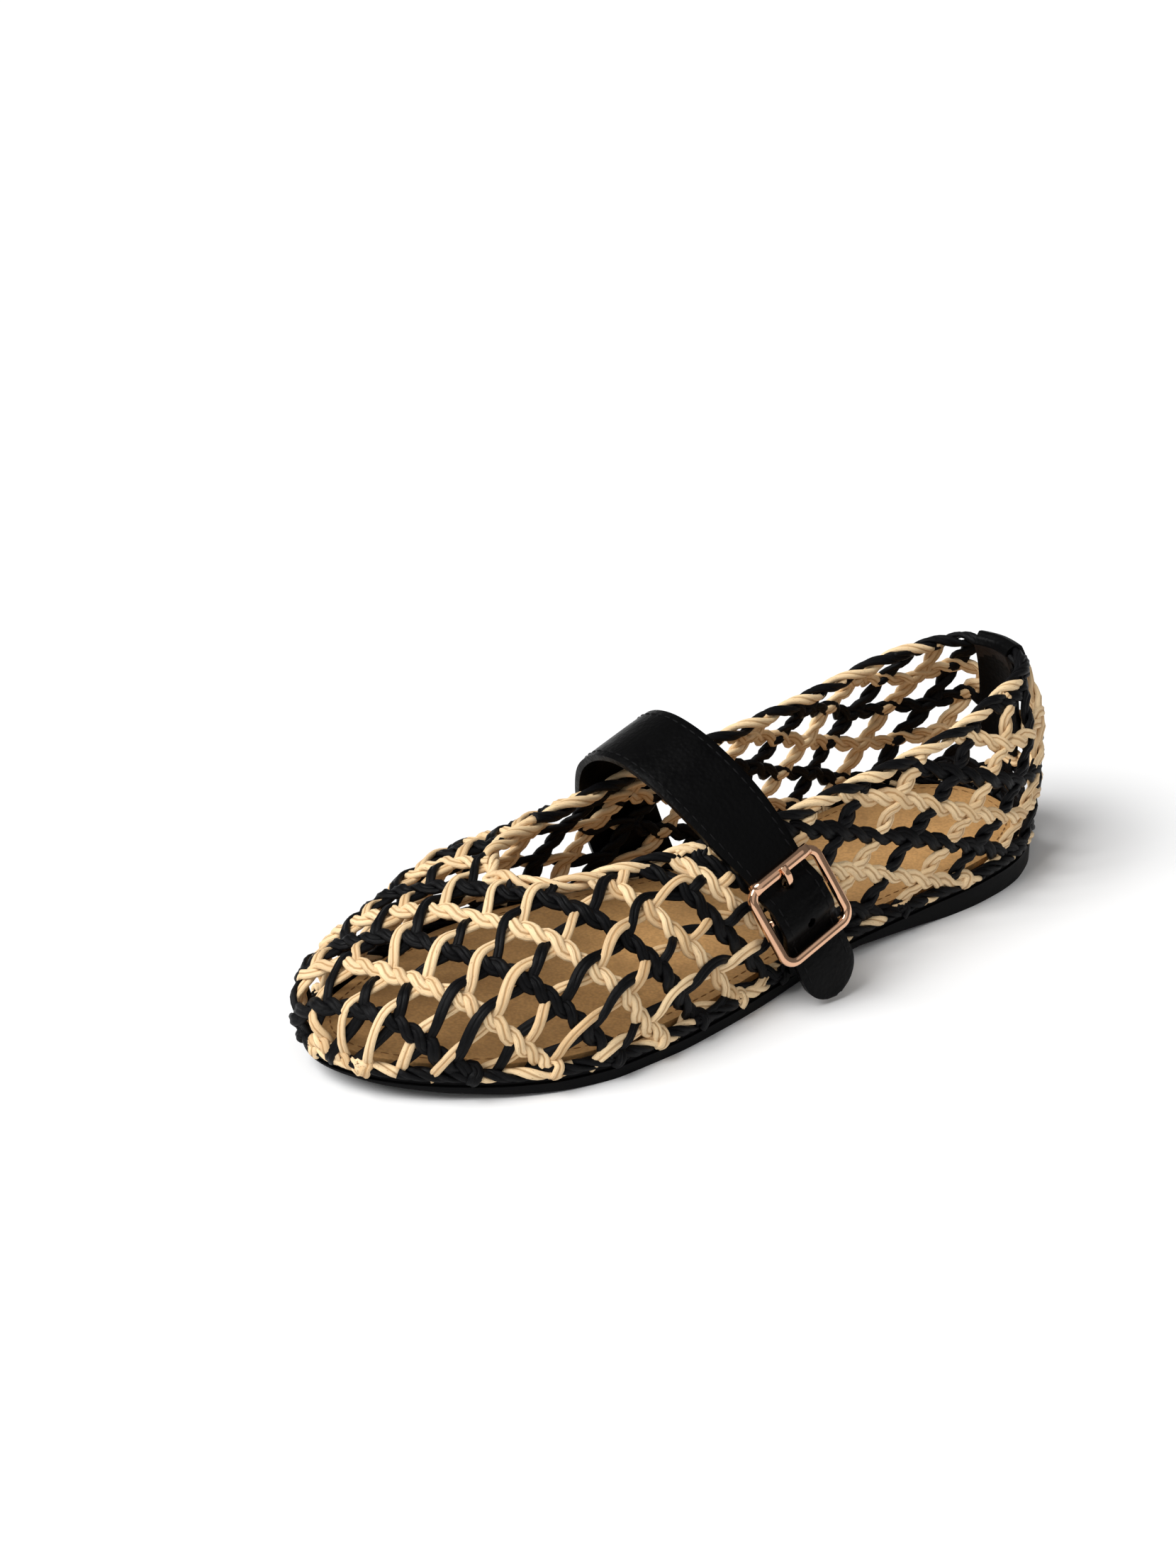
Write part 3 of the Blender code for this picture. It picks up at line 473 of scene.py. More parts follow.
# Length along the wall from the toe, halfway between its two sides, and the station there
WAY_S = 1.0 - end_fine(WAY_COUNT)
WAY_Q = way_along(0.5 * (wall(WAY_S, WAY_GIRTH) + wall(WAY_S, -WAY_GIRTH) * np.array([-1.0, 1.0, 1.0])))
WAY_END = WAY_Q[-1]
BACK_SEAM = WAY_END - 0.05


def station_of(q):
    return float(np.interp(q, WAY_Q, WAY_S))


def girth_limits(q, side):
    """Girth from the ridge to the topline and to the feather edge at this length."""
    s = station_of(q)
    _, g, z = girth_table(s, side)
    top = float(topline(s))
    if z[0] <= top:
        return -1.0, g[-1]
    return float(np.interp(top, z[::-1], g[::-1])), g[-1]


def on_wall(q, g):
    """Point on the wall from the pattern's length q and girth g."""
    s = station_of(q)
    side = side_of(g)
    a, arc, _ = girth_table(s, side)
    return wall(s, side * max(float(np.interp(abs(g), arc, a)), 1e-6))


def in_pattern(q, g):
    if q < TOE_END or q > WAY_END - SEAM_GAP:
        return False
    low, high = girth_limits(q, side_of(g))
    return low < abs(g) < high


def normal_at(q, g):
    """Outward normal of the wall from the pattern's length q and girth g."""
    e = 0.4
    q = min(max(q, 0.9), BACK_SEAM)
    du = on_wall(min(q + e, WAY_END - 0.01), g) - on_wall(q - e, g)
    dv = on_wall(q, g + e) - on_wall(q, g - e)
    n = unit(np.cross(dv, du))
    s = np.clip(station_of(q), HEEL_FAN_STATION, CORE_STATION)
    core = np.array([0.0, station_y(s), CORE_HEIGHT])
    return n * side_of(np.dot(n, on_wall(q, g) - core))


# Meshes

def add_object(name, data):
    obj = bpy.data.objects.new(name, data)
    bpy.context.scene.collection.objects.link(obj)
    return obj


def add_piece(name, mesh, finish, nodes):
    """Object of a finished mesh that rides on the shoe and stands for its solids."""
    mesh.name = name
    obj = add_object(name, mesh)
    mesh.materials.clear()
    for mat in finish:
        mesh.materials.append(mat)
    mesh.shade_smooth()
    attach(obj, "root")
    if nodes:
        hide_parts(*nodes)
    return obj


def finish_bmesh(bm, name):
    """Mesh of a closed bmesh with its faces turned outwards."""
    bmesh.ops.recalc_face_normals(bm, faces=bm.faces[:])
    mesh = bpy.data.meshes.new(name)
    bm.to_mesh(mesh)
    bm.free()
    return mesh


def applied(obj):
    """Mesh of an object with all that shapes it applied."""
    bpy.context.view_layer.update()
    graph = bpy.context.evaluated_depsgraph_get()
    return bpy.data.meshes.new_from_object(obj.evaluated_get(graph))


def round_rim(bm, edges, width):
    bmesh.ops.bevel(bm, geom=edges, offset=width * MM, offset_type="OFFSET", segments=3, profile=0.5,
                    affect="EDGES", clamp_overlap=True, material=-1)


def sharp_edges(bm, angle):
    bm.normal_update()
    return [e for e in bm.edges if len(e.link_faces) == 2 and e.calc_face_angle() > angle]


def swept(name, strands, profile, closed=False):
    """Mesh swept along strands of points, width directions and sizes, with a map of length and turn."""
    shape = bpy.data.curves.new(name + "_profile", "CURVE")
    ring = shape.splines.new("POLY")
    ring.points.add(len(profile) - 1)
    ring.points.foreach_set("co", np.array([(-x * MM, y * MM, 0.0, 1.0) for x, y in profile]).ravel())
    ring.use_cyclic_u = True
    shape_obj = add_object(name + "_profile", shape)
    curve = bpy.data.curves.new(name, "CURVE")
    curve.dimensions = "3D"
    curve.twist_mode = "Z_UP"
    curve.bevel_mode = "OBJECT"
    curve.bevel_object = shape_obj
    curve.use_fill_caps = not closed
    quads, lengths, tones = [], [], []
    for strand in strands:
        p = np.asarray(strand["points"], float)
        d = line_directions(p, closed)
        up = unit(UP - d * d[:, 2:3])
        across = np.cross(d, up)
        w = strand["width"]
        tilt = -np.arctan2(np.sum(w * up, 1), np.sum(w * across, 1))
        spline = curve.splines.new("POLY")
        spline.points.add(len(p) - 1)
        spline.points.foreach_set("co", np.concatenate([p * MM, np.ones((len(p), 1))], 1).ravel())
        spline.points.foreach_set("tilt", tilt)
        spline.points.foreach_set("radius", strand.get("size", np.ones(len(p))))
        spline.use_cyclic_u = closed
        quads.append((len(p) if closed else len(p) - 1) * len(profile))
        lengths.append(way_along(p)[-1])
        tones.append(strand.get("tone", 0.5))
    curve_obj = add_object(name, curve)
    mesh = applied(curve_obj)
    bpy.data.objects.remove(curve_obj, do_unlink=True)
    bpy.data.objects.remove(shape_obj, do_unlink=True)
    corners = np.zeros(len(mesh.polygons), int)
    mesh.polygons.foreach_get("loop_total", corners)
    side = np.repeat(corners == 4, corners)
    uv = np.zeros(len(mesh.loops) * 2)
    layer = mesh.uv_layers[0].data
    layer.foreach_get("uv", uv)
    uv = uv.reshape(-1, 2)
    tone = np.full(len(uv), 0.5)
    scale = np.repeat(lengths, np.array(quads) * 4)
    tone[side] = np.repeat(tones, np.array(quads) * 4)
    uv[side, 0] = uv[side, 0] * scale * MAP_ALONG + tone[side] * MAP_SHIFT
    layer.foreach_set("uv", uv.ravel())
    mesh.attributes.new("tone", "FLOAT", "CORNER").data.foreach_set("value", tone)
    bm = bmesh.new()
    bm.from_mesh(mesh)
    bmesh.ops.remove_doubles(bm, verts=bm.verts[:], dist=1e-6)
    bpy.data.meshes.remove(mesh)
    return finish_bmesh(bm, name)


def circle(count):
    t = 2.0 * math.pi * np.arange(count) / count
    return np.cos(t), np.sin(t)


def lobed(half_wide, half_deep, groove, count=12):
    """Section of a strand of two plies lying side by side."""
    x, y = circle(count)
    return np.stack([half_wide * x, half_deep * y * (1.0 - groove * np.exp(-(x / 0.33) ** 2))], -1)


def rounded(half_wide, half_deep, power, count=20):
    """Section of a bar with softened corners."""
    x, y = circle(count)
    r = (abs(x) ** power + abs(y) ** power) ** (-1.0 / power)
    return np.stack([half_wide * x * r, half_deep * y * r], -1)


def sheet(name, along, across, place, thick, rim):
    """Leather: a grid laid on its middle surface, thickened to both sides, its rim rounded."""
    bm = bmesh.new()
    bmesh.ops.create_grid(bm, x_segments=along, y_segments=across, size=1.0)
    for v in bm.verts:
        v.co = Vector(place(0.5 + 0.5 * v.co.x, v.co.y)) * MM
    bm.normal_update()
    lift = {v: v.normal.copy() for v in bm.verts}
    for v, n in lift.items():
        v.co += n * thick * 0.5 * MM
    bmesh.ops.solidify(bm, geom=bm.faces[:], thickness=thick * MM)
    round_rim(bm, sharp_edges(bm, 1.0), rim)
    return finish_bmesh(bm, name)


def stitch_row(bm, places, length, thick):
    """Thread stitches half sunk in a surface: each place is a point, a direction and a normal."""
    for p, along, n in places:
        z = Vector(unit(along))
        y = Vector(unit(n))
        x = y.cross(z)
        turn = Matrix((x * thick, y * thick, z * length * 0.5)).transposed().to_4x4()
        turn = Matrix.Translation(Vector(p) * MM) @ Matrix.Scale(MM, 4) @ turn
        bmesh.ops.create_uvsphere(bm, u_segments=6, v_segments=5, radius=1.0, matrix=turn)


# Finishes

class Finish:
    """A procedural material and short ways to add nodes to it."""

    def __init__(self, name, rough, metal=0.0, specular=0.3):
        self.mat = bpy.data.materials.new(name)
        self.mat.use_nodes = True
        self.nodes = self.mat.node_tree.nodes
        self.bsdf = self.nodes["Principled BSDF"]
        self.fill(self.bsdf, {"Roughness": rough, "Metallic": metal, "Specular IOR Level": specular})

    def fill(self, node, inputs):
        """Set a node's sockets to values, or link them to other nodes' outputs."""
        for key, value in inputs.items():
            socket = node.inputs[key]
            if isinstance(value, bpy.types.NodeSocket):
                self.mat.node_tree.links.new(value, socket)
            elif value is not None:
                socket.default_value = (*value, 1.0) if socket.type == "RGBA" else value

    def node(self, kind, output, inputs, **options):
        """New node with its options and sockets set; gives one of its outputs."""
        node = self.nodes.new("ShaderNode" + kind)
        for key, value in options.items():
            setattr(node, key, value)
        self.fill(node, inputs)
        return node.outputs[output]

    def place(self, kind="Object", scale=(1.0, 1.0, 1.0)):
        """Coordinates on the piece, scaled."""
        return self.node("Mapping", "Vector", {"Vector": self.node("TexCoord", kind, {}), "Scale": scale})

    def noise(self, vector, scale, detail=3.0, rough=0.5, bend=0.0):
        return self.node("TexNoise", "Fac", {"Vector": vector, "Scale": scale, "Detail": detail,
                                             "Roughness": rough, "Distortion": bend})

    def cells(self, vector, scale):
        return self.node("TexVoronoi", "Distance", {"Vector": vector, "Scale": scale}, feature="SMOOTH_F1")

    def attribute(self, name):
        return self.node("Attribute", "Fac", {}, attribute_name=name)

    def math(self, kind, a, b=None):
        return self.node("Math", 0, {0: a, 1: b}, operation=kind)

    def ramp(self, fac, stops):
        """Colours or greys read off a scale of stops."""
        node = self.nodes.new("ShaderNodeValToRGB")
        scale = node.color_ramp.elements
        while len(scale) < len(stops):
            scale.new(0.5)
        for element, (at, value) in zip(scale, stops):
            element.position = at
            element.color = (value, value, value, 1.0) if isinstance(value, float) else (*value, 1.0)
        self.fill(node, {"Fac": fac})
        return node.outputs["Color"]

    def mix(self, fac, a, b, kind="MIX"):
        return self.node("Mix", 2, {0: fac, 6: a, 7: b}, data_type="RGBA", blend_type=kind)

    def bump(self, height, strength, depth, below=None):
        return self.node("Bump", "Normal", {"Height": height, "Strength": strength, "Distance": depth * MM,
                                            "Normal": below})

    def done(self, colour, rough, normal):
        self.fill(self.bsdf, {"Base Color": colour, "Roughness": rough, "Normal": normal})
        return self.mat


def shade(colour, by):
    return tuple(min(c * by, 1.0) for c in colour)


def raffia_finish(name, colour, groove, fleck, rough, specular):
    """Folded palm leaf: fine lengthwise fibres, painted shade in the groove between the plies, small marks
    and a tone for each strand.
    """
    f = Finish(name, rough, specular=specular)
    fibre = f.noise(f.place("UV", (1.1, 26.0, 1.0)), 1.0, 4.0, 0.65, 0.4)
    patch = f.noise(f.place("UV", (0.55, 1.5, 1.0)), 1.0, 3.0, 0.6)
    marks = f.noise(f.place("UV", (9.0, 30.0, 1.0)), 1.0, 2.0, 0.6)
    base = f.ramp(fibre, ((0.25, shade(colour, 0.66)), (0.5, colour), (0.78, shade(colour, 1.22))))
    base = f.mix(f.ramp(patch, ((0.35, 0.0), (0.7, 0.55))), base, shade(colour, 1.25))
    tone = f.ramp(f.attribute("tone"), ((0.0, 0.5), (0.6, 0.0)))
    base = f.mix(tone, base, shade(colour, 0.62), "MULTIPLY")
    base = f.mix(f.ramp(marks, ((0.62, 0.0), (0.7, 0.8))), base, fleck)
    round_it = f.node("SeparateXYZ", "Y", {0: f.place("UV")})
    turn = f.math("ABSOLUTE", f.math("COSINE", f.math("MULTIPLY", round_it, 2.0 * math.pi)))
    # Painted shade: the groove between the two plies is darkened towards the groove colour; the same mask
    # deepens the bump
    groove_and_shade = f.ramp(turn, ((0.02, 1.0), (0.3, 0.0)))
    base = f.mix(f.math("MULTIPLY", groove_and_shade, 0.75), base, groove)
    height = f.math("ADD", fibre, f.math("MULTIPLY", marks, 0.4))
    height = f.math("SUBTRACT", height, f.math("MULTIPLY", groove_and_shade, 0.8))
    gloss = f.ramp(fibre, ((0.2, min(rough + 0.14, 1.0)), (0.8, max(rough - 0.1, 0.0))))
    return f.done(base, gloss, f.bump(height, 0.55, 0.35))


def leather_finish(name, colour, rough, grain, gloss):
    """Smooth grain leather: pebbles, soft creases and a slightly uneven polish."""
    f = Finish(name, rough, specular=gloss)
    at = f.place()
    pebble = f.cells(at, grain)
    cloud = f.noise(at, 70.0, 4.0, 0.55)
    fine = f.noise(at, 2600.0, 2.0, 0.6)
    base = f.mix(f.ramp(cloud, ((0.3, 0.0), (0.75, 0.7))), shade(colour, 0.8), shade(colour, 1.35))
    base = f.mix(f.ramp(pebble, ((0.25, 0.0), (0.7, 0.45))), base, shade(colour, 0.5))
    polish = f.ramp(f.noise(at, 190.0, 3.0), ((0.3, max(rough - 0.07, 0.0)), (0.7, rough + 0.09)))
    crease = f.bump(cloud, 0.4, 0.6)
    height = f.math("SUBTRACT", f.math("MULTIPLY", fine, 0.25), pebble)
    return f.done(base, polish, f.bump(height, 0.6, 0.16, crease))


def rubber_finish(name, colour, rough):
    """Moulded sole: fine orange peel, faint scuffs and dust."""
    f = Finish(name, rough, specular=0.06)
    at = f.place()
    peel = f.noise(at, 900.0, 3.0, 0.5)
    scuff = f.noise(f.place("Object", (40.0, 40.0, 260.0)), 1.0, 5.0, 0.6)
    base = f.mix(f.ramp(scuff, ((0.45, 0.0), (0.8, 0.5))), colour, shade(colour, 2.2))
    gloss = f.ramp(scuff, ((0.3, rough - 0.08), (0.75, min(rough + 0.12, 1.0))))
    return f.done(base, gloss, f.bump(peel, 0.3, 0.12))


def metal_finish(name, colour):
    """Polished plating with very fine hairlines."""
    f = Finish(name, 0.09, metal=1.0)
    at = f.place()
    hair = f.noise(f.place("Object", (300.0, 2200.0, 300.0)), 1.0, 3.0, 0.6)
    cloud = f.noise(at, 160.0, 3.0)
    base = f.mix(f.ramp(cloud, ((0.35, 0.0), (0.7, 1.0))), shade(colour, 0.93), shade(colour, 1.05))
    gloss = f.ramp(hair, ((0.3, 0.06), (0.75, 0.15)))
    return f.done(base, gloss, f.bump(hair, 0.06, 0.05))


def floor_finish(name, colour):
    """Matt studio paper."""
    f = Finish(name, 0.85, specular=0.15)
    at = f.place()
    tooth = f.noise(at, 700.0, 3.0)
    base = f.mix(f.ramp(f.noise(at, 3.0), ((0.3, 0.0), (0.7, 1.0))), shade(colour, 0.985), colour)
    return f.done(base, None, f.bump(tooth, 0.04, 0.1))


# Raffia net

def knot(i, j):
    """Place of a knot of row i and chain j in the pattern: length and girth."""
    x, y = (VAMP_KNOT[k] + i * VAMP_DOWN[k] + j * VAMP_BACK[k] for k in (0, 1))
    place, index, down, back = QUARTER_NETS[0 if y > 2.0 else 1]
    rear = [place[k] + (i - index[0]) * down[k] + (j - index[1]) * back[k] for k in (0, 1)]
    w = ease((x - BLEND_START) / (BLEND_END - BLEND_START))
    return x + (rear[0] - x) * w, y + (rear[1] - y) * w


def net_lines():
    """Lines of knots: whether it is a chain, its index, the index of its first knot and the knots."""
    for j in CHAIN_INDEX:
        yield True, j, ROW_INDEX[0], [knot(i, j) for i in ROW_INDEX]
    for i in ROW_INDEX:
        yield False, i, CHAIN_INDEX[0], [knot(i, j) for j in CHAIN_INDEX]


def edge_place(p, q):
    """Where the way from a knot inside the pattern to one outside leaves it, and its share of that way."""
    p, q = np.array(p), np.array(q)
    t0, t1 = 0.0, 1.0
    for _ in range(12):
        t = 0.5 * (t0 + t1)
        if in_pattern(*(p + (q - p) * t)):
            t0 = t
        else:
            t1 = t
    return *(p + (q - p) * t0), t0


def inside_runs(line, first):
    """Stretches of a line of knots inside the pattern, as rows of length, girth and index."""
    flags = [in_pattern(*k) for k in line]
    runs, run = [], []
    for n, k in enumerate(line):
        if not flags[n]:
            continue
        if not run and n > 0:
            q, g, t = edge_place(k, line[n - 1])
            run = [(q, g, first + n - t)]
        run.append((*k, first + n))
        if n + 1 == len(line) or not flags[n + 1]:
            if n + 1 < len(line):
                q, g, t = edge_place(k, line[n + 1])
                run.append((q, g, first + n + t))
            runs.append(run)
            run = []
    return [r for r in runs if abs(r[-1][2] - r[0][2]) > SHORTEST_RUN]


def at_feather(q, g):
    return abs(abs(g) - girth_limits(q, side_of(g))[1]) < FEATHER_NEAR


def run_on_wall(run, loop, stray):
    """Points, outward normals and indices of a run.

    At the sole its ends loop over the edge cord or are tucked in behind it.
    """
    rows = []
    for q, g, k in run:
        p, n = on_wall(q, g), normal_at(q, g)
        if k == int(k):
            rows.append((p + stray[int(k)], n, k))
            continue
        if not at_feather(q, g):
            rows.append((p, n, k))
            continue
        n = unit(n * LEVEL)
        if not loop:
            rows.append((p - n * TUCK_IN - UP * TUCK, n, k))
            continue
        way = 1.0 if rows else -1.0
        ends = [(p + n * out + UP * up, unit(n + UP * rise), k + way * share)
                for out, up, rise, share in EDGE_LOOP]
        rows += ends if rows else ends[::-1]
    points, normals, index = zip(*rows)
    return np.array(points), np.array(normals), np.array(index, float)


def behind_strap(p):
    return p[:, 1] > STRAP_FOOT_Y - math.tan(math.radians(STRAP_SLANT)) * p[:, 2]


def by_colour(strands, strand, dark):
    """Cut a strand where its colour changes and add the cuts to the lists of the two colours."""
    first, count = 0, len(dark)
    for k in range(1, count + 1):
        if k == count or dark[k] != dark[first]:
            stop = min(k + 1, count)
            if stop - first > 2:
                cut = {key: v[first:stop] if isinstance(v, np.ndarray) else v for key, v in strand.items()}
                strands[bool(dark[first])].append(cut)
            first = k


def pair_strands(run, turns, lays, size, colours, rng, strands):
    """Two strands turned round each other along a run, with one lay before the strap and one behind it."""
    points, normals, index = run
    line = smooth_path(points, EDGE_STEPS)
    n, b = line_frame(line, unit(smooth_path(normals, EDGE_STEPS)), False)
    k = np.interp(np.arange(len(line)) / EDGE_STEPS, np.arange(len(index)), index)
    rear = behind_strap(line)
    beside, above, crossing, lift, dip, hop = (np.where(rear, r, f) for f, r in zip(*lays))
    hop = hop * (rng.random(NET_TABLE) < HOP_SHARE)[np.rint(k).astype(int) % NET_TABLE]
    way = k - k[0]

    def wave(size, slow, fast):
        return size * np.sin(way * rng.uniform(slow, fast) + rng.uniform(0.0, 6.0))
    waver = wave(STRAND_WAVER, 0.6, 1.1)
    for which in (0, 1):
        turn = math.pi * (np.interp(k, index, turns) + which) + waver
        c, t = np.cos(turn), np.sin(turn)
        out = b * (c * beside)[:, None] + n * (c * abs(c) * above + t * abs(t) * crossing)[:, None]
        loose = 1.0 + wave(STRAND_UNEVEN, 0.9, 2.0)
        high = lift - dip * c * c + hop * np.maximum(-c, 0.0) ** 2
        p = line + out * loose[:, None] + n * high[:, None]
        strand = {
            "points": p,
            "width": unit(np.cross(line_directions(p, False), n + FACE_ROLL * unit(out))),
            "size": size * (1.0 + wave(STRAND_UNEVEN, 1.0, 3.0)),
            "tone": rng.uniform(0.0, 1.0),
        }
        by_colour(strands, strand, colours(which, rear))


def net_strands():
    """All strands of the net, as two lists: natural and black.

    Each chain is one colour.  A row pairs both colours before the strap and is one colour behind it.
    """
    rng = np.random.default_rng(NET_SEED)
    stray = rng.uniform(-KNOT_STRAY, KNOT_STRAY, (NET_TABLE, NET_TABLE, 3))
    strands = {False: [], True: []}
    for is_chain, number, first, line in net_lines():
        odd = number % 2 == 1

        def colours(which, rear):
            return np.full(len(rear), odd) if is_chain else np.where(rear, not odd, which == 1)
        for run in inside_runs(line, first):
            laid = run_on_wall(run, is_chain, stray[:, number] if is_chain else stray[number])
            if is_chain:
                turns = 2.0 * laid[2] + 0.5
                pair_strands(laid, turns, (CHAIN_LAY, CHAIN_LAY), 1.0, colours, rng, strands)
            else:
                rear = behind_strap(laid[0])
                turns = np.cumsum(rear)
                turns = laid[2] + turns - (turns[~rear][0] if np.any(~rear) else 0)
                pair_strands(laid, turns, (ROW_LAY, REAR_ROW_LAY), ROW_SIZE, colours, rng, strands)
    return strands


def cord_strands(line, normals, closed, pitch, radius, tones, colours):
    """Two strands laid round each other along an evenly stepped line."""
    n, b = line_frame(line, normals, closed)
    way = way_along(np.concatenate([line, line[:1]]) if closed else line)
    turns = way[-1] / pitch
    if closed:
        turns = round(turns)
    angle = 2.0 * math.pi * turns * way[:len(line)] / way[-1]
    angle = angle + CORD_UNEVEN[0] * np.sin(angle * CORD_UNEVEN[1])
    strands = {False: [], True: []}
    for which in (0, 1):
        turn = angle + math.pi * which
        out = b * np.cos(turn)[:, None] + n * np.sin(turn)[:, None]
        p = line + out * radius
        width = unit(np.cross(line_directions(p, closed), out))
        dark = colours(which, line)
        size = 1.0 + CORD_SWELL[0] * np.sin(way[:len(line)] * CORD_SWELL[1] + 2.0 * which)
        if closed:
            start = next((k for k in range(len(p)) if dark[k] != dark[k - 1]), 0)
            p, width, dark, size = (np.roll(v, -start, axis=0) for v in (p, width, dark, size))
            p, width, dark, size = (np.concatenate([v, v[:1]]) for v in (p, width, dark, size))
        strand = {"points": p, "width": width, "size": size, "tone": tones[which]}
        by_colour(strands, strand, dark)
    return strands


def topline_line():
    """Closed line of the topline with its outward normals, from the throat round the heel."""
    q_front = float(np.interp(THROAT_STATION, WAY_S[::-1], WAY_Q[::-1]))
    sides = []
    for side in (1.0, -1.0):
        rows = []
        for q in q_front + (BACK_SEAM - q_front) * end_fine(110):
            g = side * max(girth_limits(q, side)[0], 0.05)
            rows.append(np.concatenate([on_wall(q, g), normal_at(q, g)]))
        sides.append(rows)
    loop = even_path(np.array(sides[0] + sides[1][::-1][1:-1]), CORD_GAP)
    for _ in range(6):
        loop = 0.5 * loop + 0.25 * (np.roll(loop, 1, axis=0) + np.roll(loop, -1, axis=0))
    return loop[:, :3], unit(loop[:, 3:])


def feather_line():
    """Closed line just above the sole's edge, with outward normals."""
    s = end_fine(140)
    ring = even_path(np.concatenate([wall(s, 1.0), wall(s, -1.0)[::-1][1:-1]]), CORD_GAP)
    d = line_directions(ring, True)
    return ring, outward(ring, unit(np.stack([d[:, 1], -d[:, 0], np.zeros(len(d))], -1)))


# Leather

def strap_point(across, up, along=0.0):
    """Place in the strap's slanted plane; along runs back across the strap's width."""
    t = math.radians(STRAP_SLANT)
    y = STRAP_FOOT_Y - math.sin(t) * up + math.cos(t) * along
    z = math.cos(t) * up + math.sin(t) * along
    return np.array([across, y, z])


def buckle_flat(down, out):
    """Place in the buckle's frame as across and up values of the strap's plane."""
    t = math.radians(BUCKLE_LEAN)
    return (BUCKLE_MID[0] + math.sin(t) * down + math.cos(t) * out,
            BUCKLE_MID[1] - math.cos(t) * down + math.sin(t) * out)


def buckle_point(along, down, out):
    return strap_point(*buckle_flat(down, out), along)


def strap_rows():
    """Strap path: the table, then under the upper bar, over the centre bar and out to the tip."""
    rows = [list(r) for r in STRAP_TABLE]
    half = BUCKLE_TALL / 2.0
    under_bar = -BUCKLE_ROD - FIT_GAP - STRAP_THICK / 2.0
    over_bar = BAR_OUT + BAR_RADIUS + 2.0 * FIT_GAP + CHAPE_THICK + STRAP_THICK / 2.0
    for down, out in ((-half - 0.6, under_bar), (-half + 3.4, under_bar + 0.7), (-4.0, over_bar - 0.3),
                      (0.0, over_bar), (4.0, over_bar - 0.3), (half - 3.4, under_bar + 0.7),
                      (half + 0.4, under_bar)):
        a, u = buckle_flat(down, out)
        rows.append([a, u, STRAP_HALF_BUCKLE, 0.0])
    for step_across, step_down, half_width in STRAP_TAIL:
        rows.append([a + step_across, u - step_down, half_width, 0.0])
    return rows


def chape_rows():
    """Short strap: up from the sole edge and once round the centre bar."""
    r = BAR_RADIUS + FIT_GAP + CHAPE_THICK / 2.0
    rows = [list(row) for row in CHAPE_TABLE]
    for deg in CHAPE_TURN:
        t = math.radians(deg)
        rows.append([*buckle_flat(-r * math.cos(t), BAR_OUT + r * math.sin(t)), CHAPE_HALF, 0.0])
    rows.append([*buckle_flat(CHAPE_END, BAR_OUT + r), CHAPE_HALF, 0.0])
    return rows


class Band:
    """Band of leather along rows of across, up, half width and splay, its foot cut level."""

    def __init__(self, rows, tip=0.0):
        self.path = smooth_path(rows, BAND_STEPS)
        self.way = way_along(self.path[:, :2])
        self.length = self.way[-1]
        self.foot_way = self.way[BAND_STEPS]
        if tip:
            left = self.length - self.way
            round_off = np.sqrt(1.0 - np.clip(1.0 - left / tip, 0.0, 0.995) ** 2)
            self.path[:, 2] = np.where(left < tip, STRAP_HALF_BUCKLE * round_off, self.path[:, 2])
        n = self.frame(self.length * 0.4, 0.0)[2]
        self.sign = side_of(n[2] + 0.3 * n[0])

    def row(self, at):
        return np.array([np.interp(at, self.way, self.path[:, k]) for k in range(4)])

    def point(self, at, w):
        """Place on the band's middle at a length along it and a width from its middle line."""
        across, up, _, splay = self.row(at)
        if at < self.foot_way:
            t = math.radians(STRAP_SLANT)
            level = (FOOT_LEVEL - math.sin(t) * w) / math.cos(t)
            up = up + (level - self.path[0, 1]) * (1.0 - at / self.foot_way)
        return strap_point(across + splay * w, up, w)

    def frame(self, at, w):
        """Place, direction along the band and outward normal."""
        e = 0.4
        along = self.point(min(at + e, self.length), w) - self.point(max(at - e, 0.0), w)
        across = self.point(at, w + e) - self.point(at, w - e)
        return self.point(at, w), unit(along), unit(np.cross(along, across))

    def mesh(self, name, thick, along, across, rim, crown):
        def place(u, v):
            at = u * self.length
            w = v * self.row(at)[2]
            p, _, n = self.frame(at, w)
            return p - n * self.sign * crown * v ** 4
        return sheet(name, along, across, place, thick, rim)

    def stitches(self, bm, step, thick):
        """Two rows of stitches beside the edges of a band of this thickness."""
        for side in (1.0, -1.0):
            at = STITCH_ENDS[0]
            while at < self.length - STITCH_ENDS[1]:
                p, along, n = self.frame(at, side * (self.row(at)[2] - STITCH_INSET))
                p = p + n * self.sign * (thick * 0.5 - STITCH_SINK)
                stitch_row(bm, [(p, along, n)], step * STITCH_SHARE, STITCH_THICK)
                at += step


def tab_place(u, v):
    """Heel tab: up the outside, over the topline and down the inside."""
    mid_out = WALL_OUT + TAB_CLEAR + TAB_THICK / 2.0
    mid_in = -WALL_IN - TAB_CLEAR - TAB_THICK / 2.0
    rows = [(TAB_OUTSIDE * (1.0 - k / 4.0), mid_out, 0.0) for k in range(5)]
    rows += [(0.0, mid_out * 0.72, TAB_RISE), (0.0, 0.0, TAB_TOP), (0.0, mid_in * 0.72, TAB_RISE)]
    rows += [(TAB_INSIDE * k / 5.0, mid_in, 0.0) for k in range(6)]
    rows = np.array(rows)
    at = u * (len(rows) - 1.0)
    drop, off, lift = (float(np.interp(at, np.arange(len(rows)), rows[:, k])) for k in range(3))
    w = TAB_HALF * v
    q = min(WAY_END - abs(w), WAY_END - 0.02)
    side = side_of(w)
    g = side * (girth_limits(q, side)[0] + drop)
    n = unit(normal_at(q, g) * (LEVEL + 0.35 * UP))
    return on_wall(q, g) + n * off + UP * lift


# Sole

